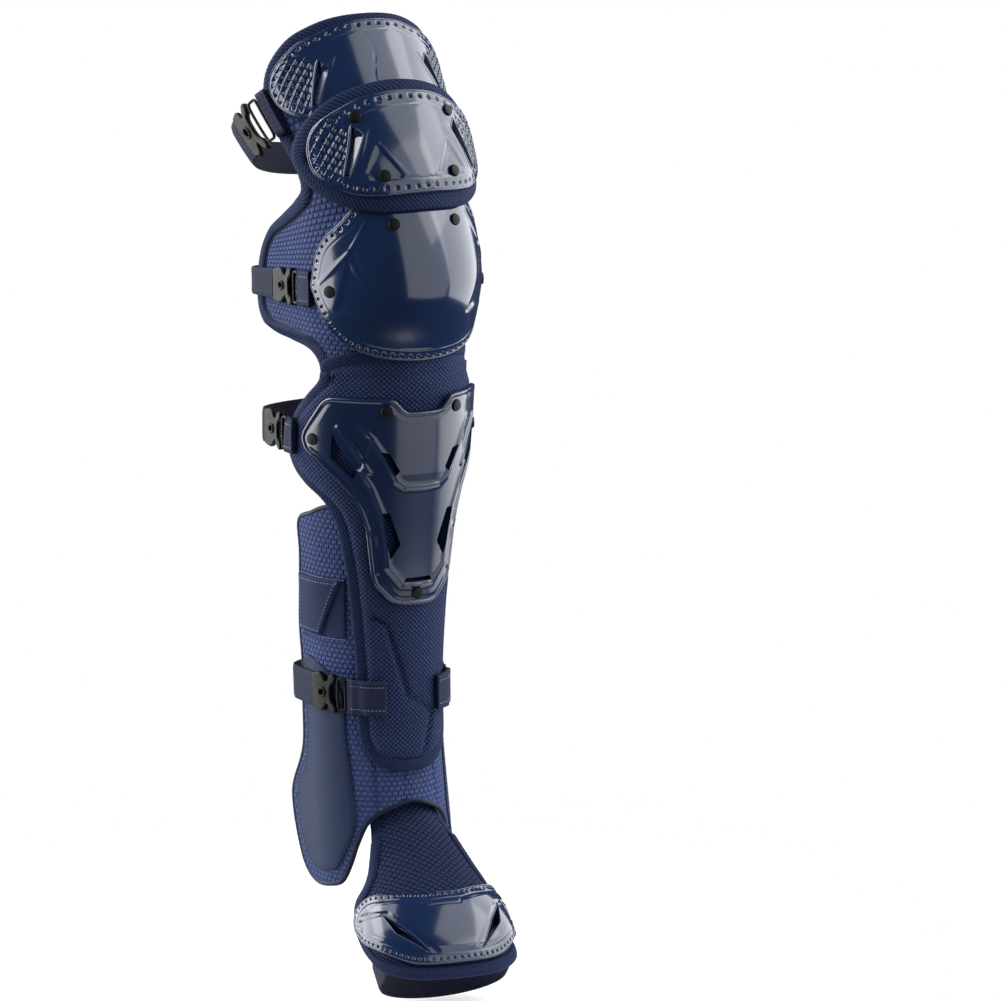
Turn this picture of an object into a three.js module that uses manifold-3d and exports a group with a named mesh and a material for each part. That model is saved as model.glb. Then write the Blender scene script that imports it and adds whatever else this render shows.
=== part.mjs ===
// Catcher's leg guard for the wearer's right leg: knitted pads, moulded shells, four elastic
// straps with hooks, an ankle wrap and a toe flap. Millimetres, +Z up, front towards -Y.
// The origin is on the leg's own axis, level with the middle of the kneecap.

import * as THREE from 'three';
import { mergeVertices } from 'three/addons/utils/BufferGeometryUtils.js';
import Module from 'manifold-3d';

const wasm = await Module();
wasm.setup();

// Main lengths
const SHIN_LENGTH = 400;      // middle of the kneecap down to the bend of the ankle
const THIGH_LENGTH = 125;     // middle of the kneecap up to the thigh pad's top edge
const FOOT_LENGTH = 160;      // bend of the ankle to the toe flap's front edge, along the instep
const LEG_WIDTH = 116;        // room for the leg between the pads at the knee
const LEG_DEPTH = 60;         // room in front of the leg's axis at the knee
const FOOT_WIDTH = 100;       // room for the shoe under the toe flap
const KNEE_BEND = 36;         // degrees that the thigh leans back
const FOOT_DROP = 48;         // degrees that the instep leans forward at the ankle
const TOE_TURN = -9;          // degrees that the toe flap turns towards +X

// Thicknesses, each measured outwards from the leg
const CLEARANCE = 0.6;        // between two layers, which are many-sided and lie close
const SEAM_GAP = 0.6;         // between a pad's edge and its binding
const THIGH_PADDING = 5.4;
const KNEE_PADDING = 8;       // under the knee shell
const UNDERLAP = 3.2;         // flat hem of the main liner, and the ankle wrap's cloth
const SHIN_PADDING = 8;
const SHIN_SWELL = 4;         // how much more of it there is away from the edge
const FLAP_PADDING = 6;
const TOE_PADDING = 4;
const SHELL = 3;              // wall of the moulded shells
const PLATE = 3.4;            // wall of the shin plate
const PLATE_RISE = 2.5;       // how far the shin plate's middle stands up
const KNEE_RISE = 8;          // how far the knee shell's middle stands up
const CAP_RISE = 4;           // the same for the toe cap
const PATCH = 1.2;            // loop patch and ankle patch
const TAB = 2.2;              // the wrap's closing tab

// Widths
const BINDING = 9;            // twill binding round the pads
const BINDING_LIP = 0.8;      // how far a binding stands proud of its pad
const WEBBING_WIDTH = 25;
const WEBBING = 2;
const ELASTIC_WIDTH = 22;
const RIVET = 9;
const RIVET_HEIGHT = 1.8;
const HOOK = 4;               // thickness of a hook, and of a webbing loop round its ring
const HOOK_WIDTH = 29;        // across its two claws
const EYELET = 6;             // hole through a hook
const PLAY = 0.3;             // between a ring and what holds it
const WIRE = 2.2;             // wire of the rings
const RING_REACH = 9;         // the part of a ring that shows between its hook and its loop

// Facets: how finely every layer is divided, the same lines on all of them
const CELL_ANGLE = 12;
const CELLS_DOWN_SHIN = 20;
const OUTLINE_STEP = 13;

const CELL_HEIGHT = SHIN_LENGTH / CELLS_DOWN_SHIN;
const MM_PER_DEGREE = Math.PI * LEG_WIDTH / 360;
const radians = THREE.MathUtils.degToRad;

const height = (share) => share * (share > 0 ? THIGH_LENGTH : SHIN_LENGTH);

// Sections of the leg's room. Columns: height as a share of the thigh or shin length, setback of
// the axis as a share of the leg's width, lean as a share of the knee's bend, half width as a
// share of the leg's width, and depth as a share of the leg's depth.
const LEG_SECTIONS = [
  [-1.25, -0.19, 0, 0.405, 0.85],
  [-1.075, -0.09, 0, 0.41, 0.85],
  [-0.825, 0, 0, 0.388, 0.817],
  [-0.6, 0, 0, 0.414, 0.833],
  [-0.325, -0.034, 0, 0.474, 0.95],
  [-0.1875, -0.078, 0, 0.483, 0.967],
  [-0.0375, -0.155, 0.11, 0.5, 1],
  [0.36, -0.017, 0.61, 0.5, 0.967],
  [0.8, 0.431, 1, 0.603, 1.167],
  [1.28, 0.81, 1.056, 0.629, 1.217],
].map(([level, setback, lean, half, depth]) => ({
  at: height(level), x: 0, y: setback * LEG_WIDTH, z: height(level), lean: lean * KNEE_BEND,
  half: half * LEG_WIDTH, depth: depth * LEG_DEPTH, turn: 0,
}));

// Sections of the shoe's room, along the tongue's front line. Columns: distance from the ankle's
// bend as a share of the foot's length, then the front line's place sideways, forwards and
// downwards as shares of it too, lean as a share of the drop, half width and depth as shares of
// the foot's width, and the share of the toe's turn.
const FOOT_SECTIONS = [
  [-0.22, 0, 0.278, -0.22, 0, 0.409, 0.445, 0],
  [0, 0.01, 0.262, 0, 0.5, 0.4, 0.43, 0.3],
  [0.19, 0, 0.4, 0.115, 1, 0.43, 0.42, 1],
  [0.6, -0.045, 0.7, 0.385, 1, 0.49, 0.24, 1],
  [1, -0.09, 0.995, 0.66, 0.94, 0.5, 0.2, 1],
].map(([along, side, ahead, down, lean, half, depth, turn]) => {
  const back = depth * FOOT_WIDTH;
  const leanBy = radians(lean * FOOT_DROP);
  const turnBy = radians(turn * TOE_TURN);
  return {
    at: along * FOOT_LENGTH,
    x: side * FOOT_LENGTH - back * Math.cos(leanBy) * Math.sin(turnBy),
    y: -ahead * FOOT_LENGTH + back * Math.cos(leanBy) * Math.cos(turnBy),
    z: -SHIN_LENGTH - down * FOOT_LENGTH - back * Math.sin(leanBy),
    lean: lean * FOOT_DROP, half: half * FOOT_WIDTH, depth: back, turn: turn * TOE_TURN,
  };
});

// One section between the rows of a table, on a smooth curve through them.
function sectionAt(rows, at) {
  const last = rows.length - 2;
  const found = rows.findIndex((row) => row.at > at) - 1;
  const i = found < 0 ? (at <= rows[0].at ? 0 : last) : found;
  const slope = (key, j) => (rows[j + 1][key] - rows[j][key]) / (rows[j + 1].at - rows[j].at);
  const tangent = (key, j) => {
    if (j === 0) return slope(key, 0);
    if (j === rows.length - 1) return slope(key, last);
    const before = rows[j].at - rows[j - 1].at;
    const after = rows[j + 1].at - rows[j].at;
    return (slope(key, j - 1) * after + slope(key, j) * before) / (before + after);
  };
  const span = rows[i + 1].at - rows[i].at;
  const t = (at - rows[i].at) / span;
  const section = {};
  for (const key of Object.keys(rows[i])) {
    section[key] = rows[i][key] * (2 * t ** 3 - 3 * t ** 2 + 1)
      + tangent(key, i) * span * (t ** 3 - 2 * t ** 2 + t)
      + rows[i + 1][key] * (3 * t ** 2 - 2 * t ** 3)
      + tangent(key, i + 1) * span * (t ** 3 - t ** 2);
  }
  return section;
}

// A place in a section's own plane, `side` and `front` from its axis, and `up` along the axis.
function inSection(section, side, front, up = 0) {
  const lean = radians(section.lean);
  const point = new THREE.Vector3(
    side,
    up * Math.sin(lean) - front * Math.cos(lean),
    up * Math.cos(lean) + front * Math.sin(lean),
  );
  point.applyAxisAngle(new THREE.Vector3(0, 0, 1), radians(section.turn));
  return point.add(new THREE.Vector3(section.x, section.y, section.z));
}

// Front half of a section: an ellipse. Past 90 degrees the wall runs straight back.
function aroundSection(section, angle, out) {
  const bent = radians(Math.min(Math.abs(angle), 90));
  const normal = new THREE.Vector2(Math.sin(bent) / section.half, Math.cos(bent) / section.depth);
  normal.normalize();
  const back = Math.max(Math.abs(angle) - 90, 0) * MM_PER_DEGREE;
  const side = section.half * Math.sin(bent) + normal.x * out;
  const front = section.depth * Math.cos(bent) + normal.y * out - back;
  return [Math.sign(angle) * side, front];
}

const onLeg = (u, at, out) => {
  const section = sectionAt(LEG_SECTIONS, at);
  return inSection(section, ...aroundSection(section, u / MM_PER_DEGREE, out));
};

const onFoot = (u, at, out) => {
  const section = sectionAt(FOOT_SECTIONS, -at);
  return inSection(section, ...aroundSection(section, u / MM_PER_DEGREE, out));
};

// The layers are cut out flat, in millimetres round the leg and up it, and are then wrapped.
const flat = ([angle, share]) => new THREE.Vector2(angle * MM_PER_DEGREE, height(share));
const flatFoot = ([angle, share]) => new THREE.Vector2(angle * MM_PER_DEGREE, -share * FOOT_LENGTH);

// A closed outline from its right half, which starts and ends on the middle line.
function mirrored(right) {
  const left = right.filter((point) => point.x > 0).map((point) => new THREE.Vector2(-point.x, point.y));
  return right.concat(left.reverse());
}

// A smooth closed outline through the points given, in even steps
function smoothed(ring, step = OUTLINE_STEP) {
  const through = ring.map((point) => new THREE.Vector3(point.x, point.y, 0));
  const curve = new THREE.CatmullRomCurve3(through, true, 'centripetal');
  const points = curve.getSpacedPoints(Math.round(curve.getLength() / step));
  return points.slice(0, -1).map((point) => new THREE.Vector2(point.x, point.y));
}

// The same outline, drawn in by a width all round.
function inset(ring, width) {
  const turn = THREE.ShapeUtils.area(ring) > 0 ? 1 : -1;
  return ring.map((point, i) => {
    const before = ring[(i + ring.length - 1) % ring.length];
    const after = ring[(i + 1) % ring.length];
    const inwards = (from, to) => {
      const along = to.clone().sub(from).normalize();
      return new THREE.Vector2(-along.y * turn, along.x * turn);
    };
    const first = inwards(before, point);
    const middle = first.clone().add(inwards(point, after)).normalize();
    return point.clone().addScaledVector(middle, width / Math.max(middle.dot(first), 0.6));
  });
}

const circle = (centre, radius, sides = 8) => Array.from({ length: sides }, (_, i) => {
  const turn = 2 * Math.PI * i / sides;
  return new THREE.Vector2(centre.x + radius * Math.cos(turn), centre.y + radius * Math.sin(turn));
});

const rectangle = (left, right, low, high) => [
  new THREE.Vector2(left, low), new THREE.Vector2(right, low),
  new THREE.Vector2(right, high), new THREE.Vector2(left, high),
];

function toSolid(geometry) {
  const bare = geometry.clone();
  bare.deleteAttribute('normal');
  bare.deleteAttribute('uv');
  bare.clearGroups();
  const merged = mergeVertices(bare, 1e-4);
  return new wasm.Manifold(new wasm.Mesh({
    numProp: 3,
    vertProperties: new Float32Array(merged.attributes.position.array),
    triVerts: new Uint32Array(merged.index.array),
  }));
}

function toGeometry(solid, move = (x, y, z) => new THREE.Vector3(x, y, z)) {
  const mesh = solid.getMesh();
  const places = [];
  for (let i = 0; i < mesh.vertProperties.length; i += mesh.numProp) {
    const [x, y, z] = mesh.vertProperties.subarray(i, i + 3);
    places.push(...move(x, y, z).toArray());
  }
  const geometry = new THREE.BufferGeometry();
  geometry.setAttribute('position', new THREE.Float32BufferAttribute(places, 3));
  geometry.setIndex(Array.from(mesh.triVerts));
  return geometry;
}

const SHEET = 20;             // thickness of the flat sheet that layers are cut from
const BOW_RADIUS = 600;       // the sheet is bowed a little, so that its cells stay apart
const bow = (u, at) => (u ** 2 + at ** 2) / BOW_RADIUS;

function prism(ring, holes = []) {
  const shape = new THREE.Shape(THREE.ShapeUtils.isClockWise(ring) ? ring.slice().reverse() : ring);
  shape.holes = holes.map((hole) => new THREE.Path(hole));
  const reach = bow(Math.max(...ring.map((p) => Math.abs(p.x))), Math.max(...ring.map((p) => Math.abs(p.y))));
  const geometry = new THREE.ExtrudeGeometry(shape, { depth: reach + 3 * SHEET, bevelEnabled: false });
  return toSolid(geometry.translate(0, 0, -SHEET));
}

// A layer: a sheet of cells cut to its outline, then wrapped round the leg or the foot between
// an inner and an outer face, each given as a distance or as a function of the place.
function wrapped({ ring, holes = [], inner, outer, wrap = onLeg, cellAngle = CELL_ANGLE }) {
  const stepU = cellAngle * MM_PER_DEGREE;
  const low = new THREE.Vector2(
    Math.floor(Math.min(...ring.map((p) => p.x)) / stepU - 0.01) * stepU,
    Math.floor(Math.min(...ring.map((p) => p.y)) / CELL_HEIGHT - 0.01) * CELL_HEIGHT,
  );
  const high = new THREE.Vector2(
    Math.ceil(Math.max(...ring.map((p) => p.x)) / stepU + 0.01) * stepU,
    Math.ceil(Math.max(...ring.map((p) => p.y)) / CELL_HEIGHT + 0.01) * CELL_HEIGHT,
  );
  const size = high.clone().sub(low);
  const sheet = new THREE.BoxGeometry(
    size.x, size.y, SHEET, Math.round(size.x / stepU), Math.round(size.y / CELL_HEIGHT), 1,
  );
  sheet.translate((low.x + high.x) / 2, (low.y + high.y) / 2, SHEET / 2);
  const places = sheet.attributes.position;
  for (let i = 0; i < places.count; i += 1) {
    places.setZ(i, places.getZ(i) + bow(places.getX(i), places.getY(i)));
  }
  const solid = toSolid(sheet).intersect(prism(ring, holes));
  const faces = [inner, outer].map((face) => (typeof face === 'function' ? face : () => face));
  return toGeometry(solid, (u, at, z) => {
    const side = z - bow(u, at) > SHEET / 2 ? 1 : 0;
    return wrap(u, at, faces[side](u, at));
  });
}

// A band of even width that follows an outline all round, lying against its inner side.
function bound({ ring, width, inner, outer, wrap = onLeg }) {
  const turned = THREE.ShapeUtils.isClockWise(ring) ? ring.slice().reverse() : ring;
  const loops = [turned, inset(turned, width)];
  const faces = [inner, outer].map((face) => (typeof face === 'function' ? face : () => face));
  const places = [];
  for (const face of faces) {
    for (const loop of loops) {
      for (const point of loop) places.push(...wrap(point.x, point.y, face(point.x, point.y)).toArray());
    }
  }
  const count = turned.length;
  // Corners of the band's section, in order: inner face outside, inner face inside, then outwards
  const corners = [0, 1, 3, 2];
  const triangles = [];
  for (let i = 0; i < count; i += 1) {
    const next = (i + 1) % count;
    for (let k = 0; k < 4; k += 1) {
      const [a, b] = [corners[k] * count, corners[(k + 1) % 4] * count];
      triangles.push(a + i, b + i, b + next, a + i, b + next, a + next);
    }
  }
  const geometry = new THREE.BufferGeometry();
  geometry.setAttribute('position', new THREE.Float32BufferAttribute(places, 3));
  geometry.setIndex(triangles);
  return geometry;
}

const group = new THREE.Group();

const finish = (color, roughness, metalness = 0) => (
  new THREE.MeshStandardMaterial({ color, roughness, metalness })
);
const KNIT = finish(0x3b4a7c, 0.9);
const FINE_MESH = finish(0x2a3a66, 0.9);
const TWILL = finish(0x22305c, 0.9);
const GLOSSY_SHELL = finish(0x152a4e, 0.15);
const SATIN_SHELL = finish(0x22335a, 0.35);
const PATCH_SKIN = finish(0x2b4268, 0.6);
const WEB = finish(0x253560, 0.85);
const BLACK_METAL = finish(0x1b1d1a, 0.4, 0.6);

function add(name, geometry, material) {
  const mesh = new THREE.Mesh(geometry, material);
  mesh.name = name;
  group.add(mesh);
  return mesh;
}

// Main liner: thigh pad, knee pad and the two wings beside the knee, in one piece, with its
// binding. Columns of every outline: degrees round the leg from its front, share of the height.
const LINER_EDGE = [
  [0, 0.992], [21, 0.992], [32, 0.984], [44, 0.968], [53, 0.936], [62, 0.888], [68, 0.832],
  [73, 0.76], [76, 0.62], [77, 0.45], [80, 0.37], [90, 0.336], [113, 0.3], [138, 0.248],
  [151, 0.15], [157, 0.04], [160, -0.03], [161, -0.088], [155, -0.122], [140, -0.147],
  [113, -0.155], [84, -0.165], [75, -0.184], [72, -0.215], [70, -0.24], [40, -0.25], [0, -0.25],
];
const linerRing = smoothed(mirrored(LINER_EDGE.map(flat)));

// Knee shell outline, which the padding under it follows
const KNEE_EDGE = [
  [0, 0.31], [20, 0.3], [38, 0.25], [52, 0.17], [66, 0.1], [72, 0.03], [76, -0.03], [77, -0.04],
  [74, -0.062], [70, -0.082], [63, -0.11], [53, -0.136], [44, -0.151], [30, -0.164],
  [14, -0.171], [0, -0.173],
];
const kneeMiddle = height(KNEE_EDGE[KNEE_EDGE.length - 1][1]) / 2 + height(KNEE_EDGE[0][1]) / 2;
const kneeHalf = height(KNEE_EDGE[0][1]) - kneeMiddle;
const kneeHalfAngle = Math.max(...KNEE_EDGE.map(([angle]) => angle));

// 1 in the middle of the knee shell and 0 at its rim
function kneeCrown(u, at) {
  const across = u / MM_PER_DEGREE / kneeHalfAngle;
  const up = (at - kneeMiddle) / kneeHalf;
  return Math.max(1 - across ** 2 - up ** 2, 0) ** 2;
}

const hemTop = height(-0.15);

function linerFace(u, at) {
  if (at < hemTop + 1) return UNDERLAP;
  const underShell = Math.abs(u / MM_PER_DEGREE) < kneeHalfAngle - 4
    && Math.abs(at - kneeMiddle) < kneeHalf * 0.8;
  return underShell ? KNEE_PADDING : THIGH_PADDING;
}

add('main_liner', wrapped({
  ring: inset(linerRing, BINDING + SEAM_GAP), inner: 0, outer: linerFace,
}), KNIT);
add('main_binding', bound({
  ring: linerRing,
  width: BINDING,
  inner: -BINDING_LIP / 2,
  outer: (u, at) => (at < hemTop + 1 ? UNDERLAP : THIGH_PADDING + BINDING_LIP),
}), TWILL);

const linerTop = THIGH_PADDING + BINDING_LIP + CLEARANCE;
const bothSides = (rows, place = flat) => [
  rows.map(place), rows.map(([angle, share]) => place([-angle, share])),
];

// Thigh shell: its lower part lies under the flap above the knee.
const THIGH_SHELL_EDGE = [
  [0, 0.95], [18, 0.944], [29, 0.928], [39, 0.92], [50, 0.888], [59, 0.85], [63, 0.81],
  [64.6, 0.776], [64, 0.71], [60, 0.655], [53, 0.61], [40, 0.56], [20, 0.52], [0, 0.51],
];
const THIGH_VENT = [[33, 0.808], [29, 0.76], [43, 0.64], [45, 0.65]];
add('thigh_shell', wrapped({
  ring: smoothed(mirrored(THIGH_SHELL_EDGE.map(flat))),
  holes: bothSides(THIGH_VENT),
  inner: linerTop,
  outer: linerTop + SHELL,
}), GLOSSY_SHELL);

// Knee shell: a domed cap, riveted through the padding
const kneeInner = (u, at) => KNEE_PADDING + CLEARANCE + KNEE_RISE * kneeCrown(u, at);
const kneeOuter = (u, at) => kneeInner(u, at) + SHELL;
add('knee_shell', wrapped({
  ring: smoothed(mirrored(KNEE_EDGE.map(flat))), inner: kneeInner, outer: kneeOuter,
}), GLOSSY_SHELL);

// Flap above the knee: a padded leaf over the thigh shell's foot and the knee shell's head, with
// its own shell.
const FLAP_EDGE = [
  [0, 0.669], [22, 0.66], [32, 0.648], [43, 0.624], [53, 0.592], [61, 0.552], [66, 0.516],
  [69, 0.46], [67, 0.384], [63, 0.328], [54, 0.264], [42, 0.216], [29, 0.184], [14, 0.176],
  [0, 0.176],
];
const FLAP_SHELL_EDGE = [
  [0, 0.624], [20, 0.616], [30, 0.6], [39, 0.584], [48, 0.56], [53, 0.528], [57, 0.48],
  [58.5, 0.42], [57, 0.37], [54, 0.34], [45, 0.288], [36, 0.256], [23, 0.24], [0, 0.236],
];
const FLAP_VENT = [[30, 0.52], [26, 0.48], [39.5, 0.336], [41.5, 0.345]];
const overThighShell = linerTop + SHELL + CLEARANCE;

function flapInner(u, at) {
  const share = THREE.MathUtils.clamp((at - height(0.3)) / (height(0.5) - height(0.3)), 0, 1);
  return THREE.MathUtils.lerp(kneeOuter(u, at) + CLEARANCE, overThighShell, share);
}
const flapOuter = (u, at) => Math.max(flapInner(u, at) + FLAP_PADDING / 2, overThighShell + FLAP_PADDING);
const flapTop = (u, at) => flapOuter(u, at) + BINDING_LIP + CLEARANCE;
const flapRing = smoothed(mirrored(FLAP_EDGE.map(flat)));
add('flap_pad', wrapped({
  ring: inset(flapRing, BINDING + SEAM_GAP), inner: flapInner, outer: flapOuter,
}), KNIT);
add('flap_binding', bound({
  ring: flapRing,
  width: BINDING,
  inner: flapInner,
  outer: (u, at) => flapOuter(u, at) + BINDING_LIP,
}), TWILL);
add('flap_shell', wrapped({
  ring: smoothed(mirrored(FLAP_SHELL_EDGE.map(flat))),
  holes: bothSides(FLAP_VENT),
  inner: flapTop,
  outer: (u, at) => flapTop(u, at) + SHELL,
}), GLOSSY_SHELL);

// Shin pad: thin at its edge, thicker inside it, from under the knee shell to the ankle.
const SHIN_EDGE = [
  [0, -0.15], [30, -0.152], [58, -0.165], [69, -0.182], [69, -0.21], [79, -0.241], [91, -0.274],
  [100, -0.305], [104, -0.345], [97, -0.38], [81, -0.41], [68, -0.43], [60, -0.452],
  [55, -0.48], [51, -0.53], [47.5, -0.585], [45, -0.65], [42, -0.745], [42, -0.81],
  [40.7, -0.87], [36, -0.9], [26, -0.922], [9, -0.935], [0, -0.935],
];
const shinRing = smoothed(mirrored(SHIN_EDGE.map(flat)));

// Degrees from a place to the pad's edge on its own level
function shinMargin(u, at) {
  const next = SHIN_EDGE.findIndex(([, share]) => height(share) <= at);
  if (next < 1) return 0;
  const [upper, lower] = [SHIN_EDGE[next - 1], SHIN_EDGE[next]];
  const share = (height(upper[1]) - at) / (height(upper[1]) - height(lower[1]));
  return THREE.MathUtils.lerp(upper[0], lower[0], share) - Math.abs(u / MM_PER_DEGREE);
}

const SWELL_FROM = height(-0.2);
const SWELL_FULL = height(-0.235);
const SWELL_END = height(-0.9);
const SWELL_MARGIN = 14;
const shinInner = UNDERLAP + CLEARANCE;
function shinOuter(u, at) {
  if (at > SWELL_FROM || at < SWELL_END) return SHIN_PADDING;
  const down = Math.min((SWELL_FROM - at) / (SWELL_FROM - SWELL_FULL), 1);
  const across = THREE.MathUtils.smoothstep(shinMargin(u, at), 2, SWELL_MARGIN);
  return SHIN_PADDING + SHIN_SWELL * down * across;
}
add('shin_pad', wrapped({
  ring: inset(shinRing, BINDING + SEAM_GAP), inner: shinInner, outer: shinOuter,
}), FINE_MESH);
add('shin_binding', bound({
  ring: shinRing,
  width: BINDING,
  inner: shinInner,
  outer: (u, at) => SHIN_PADDING - (at > SWELL_FROM ? BINDING_LIP : -BINDING_LIP),
}), TWILL);

// Shin plate: a moulded shield with a notch at its top and seven slots.
const PLATE_EDGE = [
  [0, -0.262], [11, -0.262], [18, -0.237], [57, -0.237], [62, -0.246], [75.5, -0.305],
  [77, -0.32], [73.5, -0.343], [62, -0.362], [48.6, -0.397], [42, -0.42], [36, -0.452],
  [33.4, -0.478], [31.7, -0.52], [30, -0.563], [28, -0.583], [17, -0.617], [10, -0.623], [0, -0.623],
];
const PLATE_SLOTS = [
  [[54, -0.303], [55, -0.348], [41, -0.386], [38, -0.373], [46, -0.345]],
  [[25, -0.333], [20, -0.337], [14, -0.37], [16.5, -0.378]],
  [[23, -0.447], [19, -0.448], [12, -0.507], [18, -0.535], [20, -0.51]],
];
const PLATE_FOOT_SLOT = [[-8, -0.57], [8, -0.57], [9.5, -0.578], [-9.5, -0.578]];
const plateInner = (u) => SHIN_PADDING + SHIN_SWELL + CLEARANCE
  + PLATE_RISE * Math.max(1 - (u / MM_PER_DEGREE / 40) ** 2, 0);
const plateOuter = (u) => plateInner(u) + PLATE;
add('shin_plate', wrapped({
  ring: mirrored(PLATE_EDGE.map(flat)),
  holes: [...PLATE_SLOTS.flatMap((slot) => bothSides(slot)), PLATE_FOOT_SLOT.map(flat)],
  inner: plateInner,
  outer: plateOuter,
}), SATIN_SHELL);

// Ankle wrap: one cloth round the shin's lower part and over the ankle bones.
const WRAP_EDGE = [
  [0, -0.46], [40, -0.452], [65, -0.45], [85, -0.468], [102, -0.487], [103, -0.545], [106, -0.622],
  [108, -0.688], [106, -0.752], [107, -0.837], [108, -0.907], [113, -0.94], [124, -0.985],
  [127, -1.01], [122, -1.087], [113, -1.137], [100, -1.155], [78, -1.15], [66, -1.14],
  [57, -1.11], [48, -1.065], [37, -1.024], [17, -1.0], [0, -0.99],
];
const wrapRing = smoothed(mirrored(WRAP_EDGE.map(flat)));
add('ankle_wrap', wrapped({ ring: wrapRing, inner: 0, outer: UNDERLAP }), KNIT);

// Patches sewn on the wrap, and the tab that closes it, alike on both sides of the leg
const ANKLE_PATCH = [
  [101, -0.74], [90, -0.74], [69, -0.758], [57, -0.787], [53, -0.88], [49, -0.972], [48, -1.02],
  [52, -1.058], [60, -1.09], [68, -1.117], [80, -1.126], [98, -1.128], [107, -1.115],
  [115, -1.075], [119, -1.01], [117, -0.985], [106, -0.945], [102, -0.907], [101, -0.837],
];
const LOOP_PATCH = [[99, -0.58], [51, -0.58], [51, -0.693], [100, -0.7]];
const CLOSING_TAB = [[100, -0.585], [54, -0.583], [74, -0.69], [101, -0.69]];
const SEWN = CLEARANCE / 2;
for (const [i, side] of ['medial', 'lateral'].entries()) {
  const patch = (name, rows, inner, thickness, material) => {
    const ring = bothSides(rows)[i];
    add(`${name}_${side}`, wrapped({ ring, inner, outer: inner + thickness }), material);
  };
  patch('ankle_patch', ANKLE_PATCH, UNDERLAP + SEWN, PATCH, PATCH_SKIN);
  patch('loop_patch', LOOP_PATCH, UNDERLAP + SEWN, PATCH, WEB);
  patch('wrap_tab', CLOSING_TAB, UNDERLAP + PATCH + CLEARANCE + SEWN, TAB, PATCH_SKIN);
}

// Toe flap: a padded tongue from inside the wrap over the instep, with a moulded cap.
const TOE_EDGE = [
  [0, -0.2], [24, -0.19], [34, -0.1], [36, 0], [39, 0.1], [44.5, 0.2], [51, 0.28],
  [57, 0.34], [66, 0.385], [84, 0.42], [98, 0.48], [102, 0.57], [98, 0.7], [86, 0.81],
  [63, 0.9], [33, 0.965], [0, 0.985],
];
const CAP_EDGE = [
  [0, 0.56], [14, 0.555], [40, 0.51], [62, 0.475], [80, 0.495], [92, 0.54], [94, 0.6],
  [84, 0.69], [57, 0.825], [35, 0.9], [0, 0.925],
];
const CAP_SLOT = [[62, 0.615], [54, 0.7], [27, 0.83], [38, 0.72]];
const toeRing = smoothed(mirrored(TOE_EDGE.map(flatFoot)));
const toeTop = TOE_PADDING + BINDING_LIP + CLEARANCE;
const toeLip = (u, at) => TOE_PADDING + (at < -0.2 * FOOT_LENGTH ? BINDING_LIP : 0);
const capInner = (u, at) => {
  const across = u / MM_PER_DEGREE / 94;
  const along = (-at / FOOT_LENGTH - 0.72) / 0.2;
  return toeTop + CAP_RISE * Math.max(1 - across ** 2 - along ** 2, 0);
};
add('toe_flap', wrapped({
  ring: inset(toeRing, BINDING + 1.5 * SEAM_GAP), inner: 0, outer: TOE_PADDING, wrap: onFoot,
}), KNIT);
add('toe_binding', bound({
  ring: toeRing, width: BINDING, inner: -BINDING_LIP / 2, outer: toeLip, wrap: onFoot,
}), TWILL);
add('toe_cap', wrapped({
  ring: smoothed(mirrored(CAP_EDGE.map(flatFoot))),
  holes: bothSides(CAP_SLOT, flatFoot),
  inner: capInner,
  outer: (u, at) => capInner(u, at) + SHELL,
  wrap: onFoot,
}), GLOSSY_SHELL);

// A flat strip bent round the back of the leg or the foot: straight back on each side from 90
// degrees, then across the back on half an ellipse. `ends` are the degrees, from the front, where
// it starts and ends on the two sides.
function strip({ section, out, width, thickness, straight, closing, ends, steps = 28 }) {
  const half = section(0).half + out;
  const place = (angle) => {
    const [side, front] = aroundSection(section(0), angle, out);
    return new THREE.Vector3(side, front, 0);
  };
  const sideRun = (end) => {
    const reach = 90 + straight / MM_PER_DEGREE;
    const count = Math.max(Math.ceil((reach - end) / 14), 1);
    return Array.from({ length: count }, (_, i) => place(end + (reach - end) * i / count));
  };
  const mirror = (point) => new THREE.Vector3(-point.x, point.y, 0);
  const across = Array.from({ length: 9 }, (_, i) => {
    const turn = Math.PI * i / 8;
    return new THREE.Vector3(-half * Math.cos(turn), -straight - closing * Math.sin(turn), 0);
  });
  const route = new THREE.CatmullRomCurve3(
    [...sideRun(ends[0]).map(mirror), ...across, ...sideRun(ends[1]).reverse()], false, 'centripetal',
  );
  const bar = new THREE.BoxGeometry(1, width, thickness, steps, 1, 1);
  const places = bar.attributes.position;
  for (let i = 0; i < places.count; i += 1) {
    const here = route.getPointAt(places.getX(i) + 0.5);
    const along = route.getTangentAt(places.getX(i) + 0.5);
    const level = section(places.getY(i));
    const side = (here.x - along.y * places.getZ(i)) * (level.half + out) / half;
    const point = inSection(level, side, here.y + along.x * places.getZ(i));
    places.setXYZ(i, point.x, point.y, point.z);
  }
  return toGeometry(toSolid(bar));
}

// What a webbing loop on the shin pad lies on: the pad, its binding, or the wrap beyond them,
// whichever stands highest within a few millimetres.
const overBinding = THIGH_PADDING + BINDING_LIP + CLEARANCE;
const overLiner = THIGH_PADDING + CLEARANCE;
const overShin = SHIN_PADDING + BINDING_LIP + CLEARANCE;
const overPatch = UNDERLAP + SEWN + PATCH + CLEARANCE;
const FOLD_REACH = 4;
function overShinPad(u, at) {
  const faces = [-FOLD_REACH, 0, FOLD_REACH].map((aside) => {
    const margin = shinMargin(u + aside, at) * MM_PER_DEGREE;
    if (margin < 0) return overPatch;
    return margin < BINDING ? overShin : shinOuter(u + aside, at) + CLEARANCE;
  });
  return Math.max(...faces);
}

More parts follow.
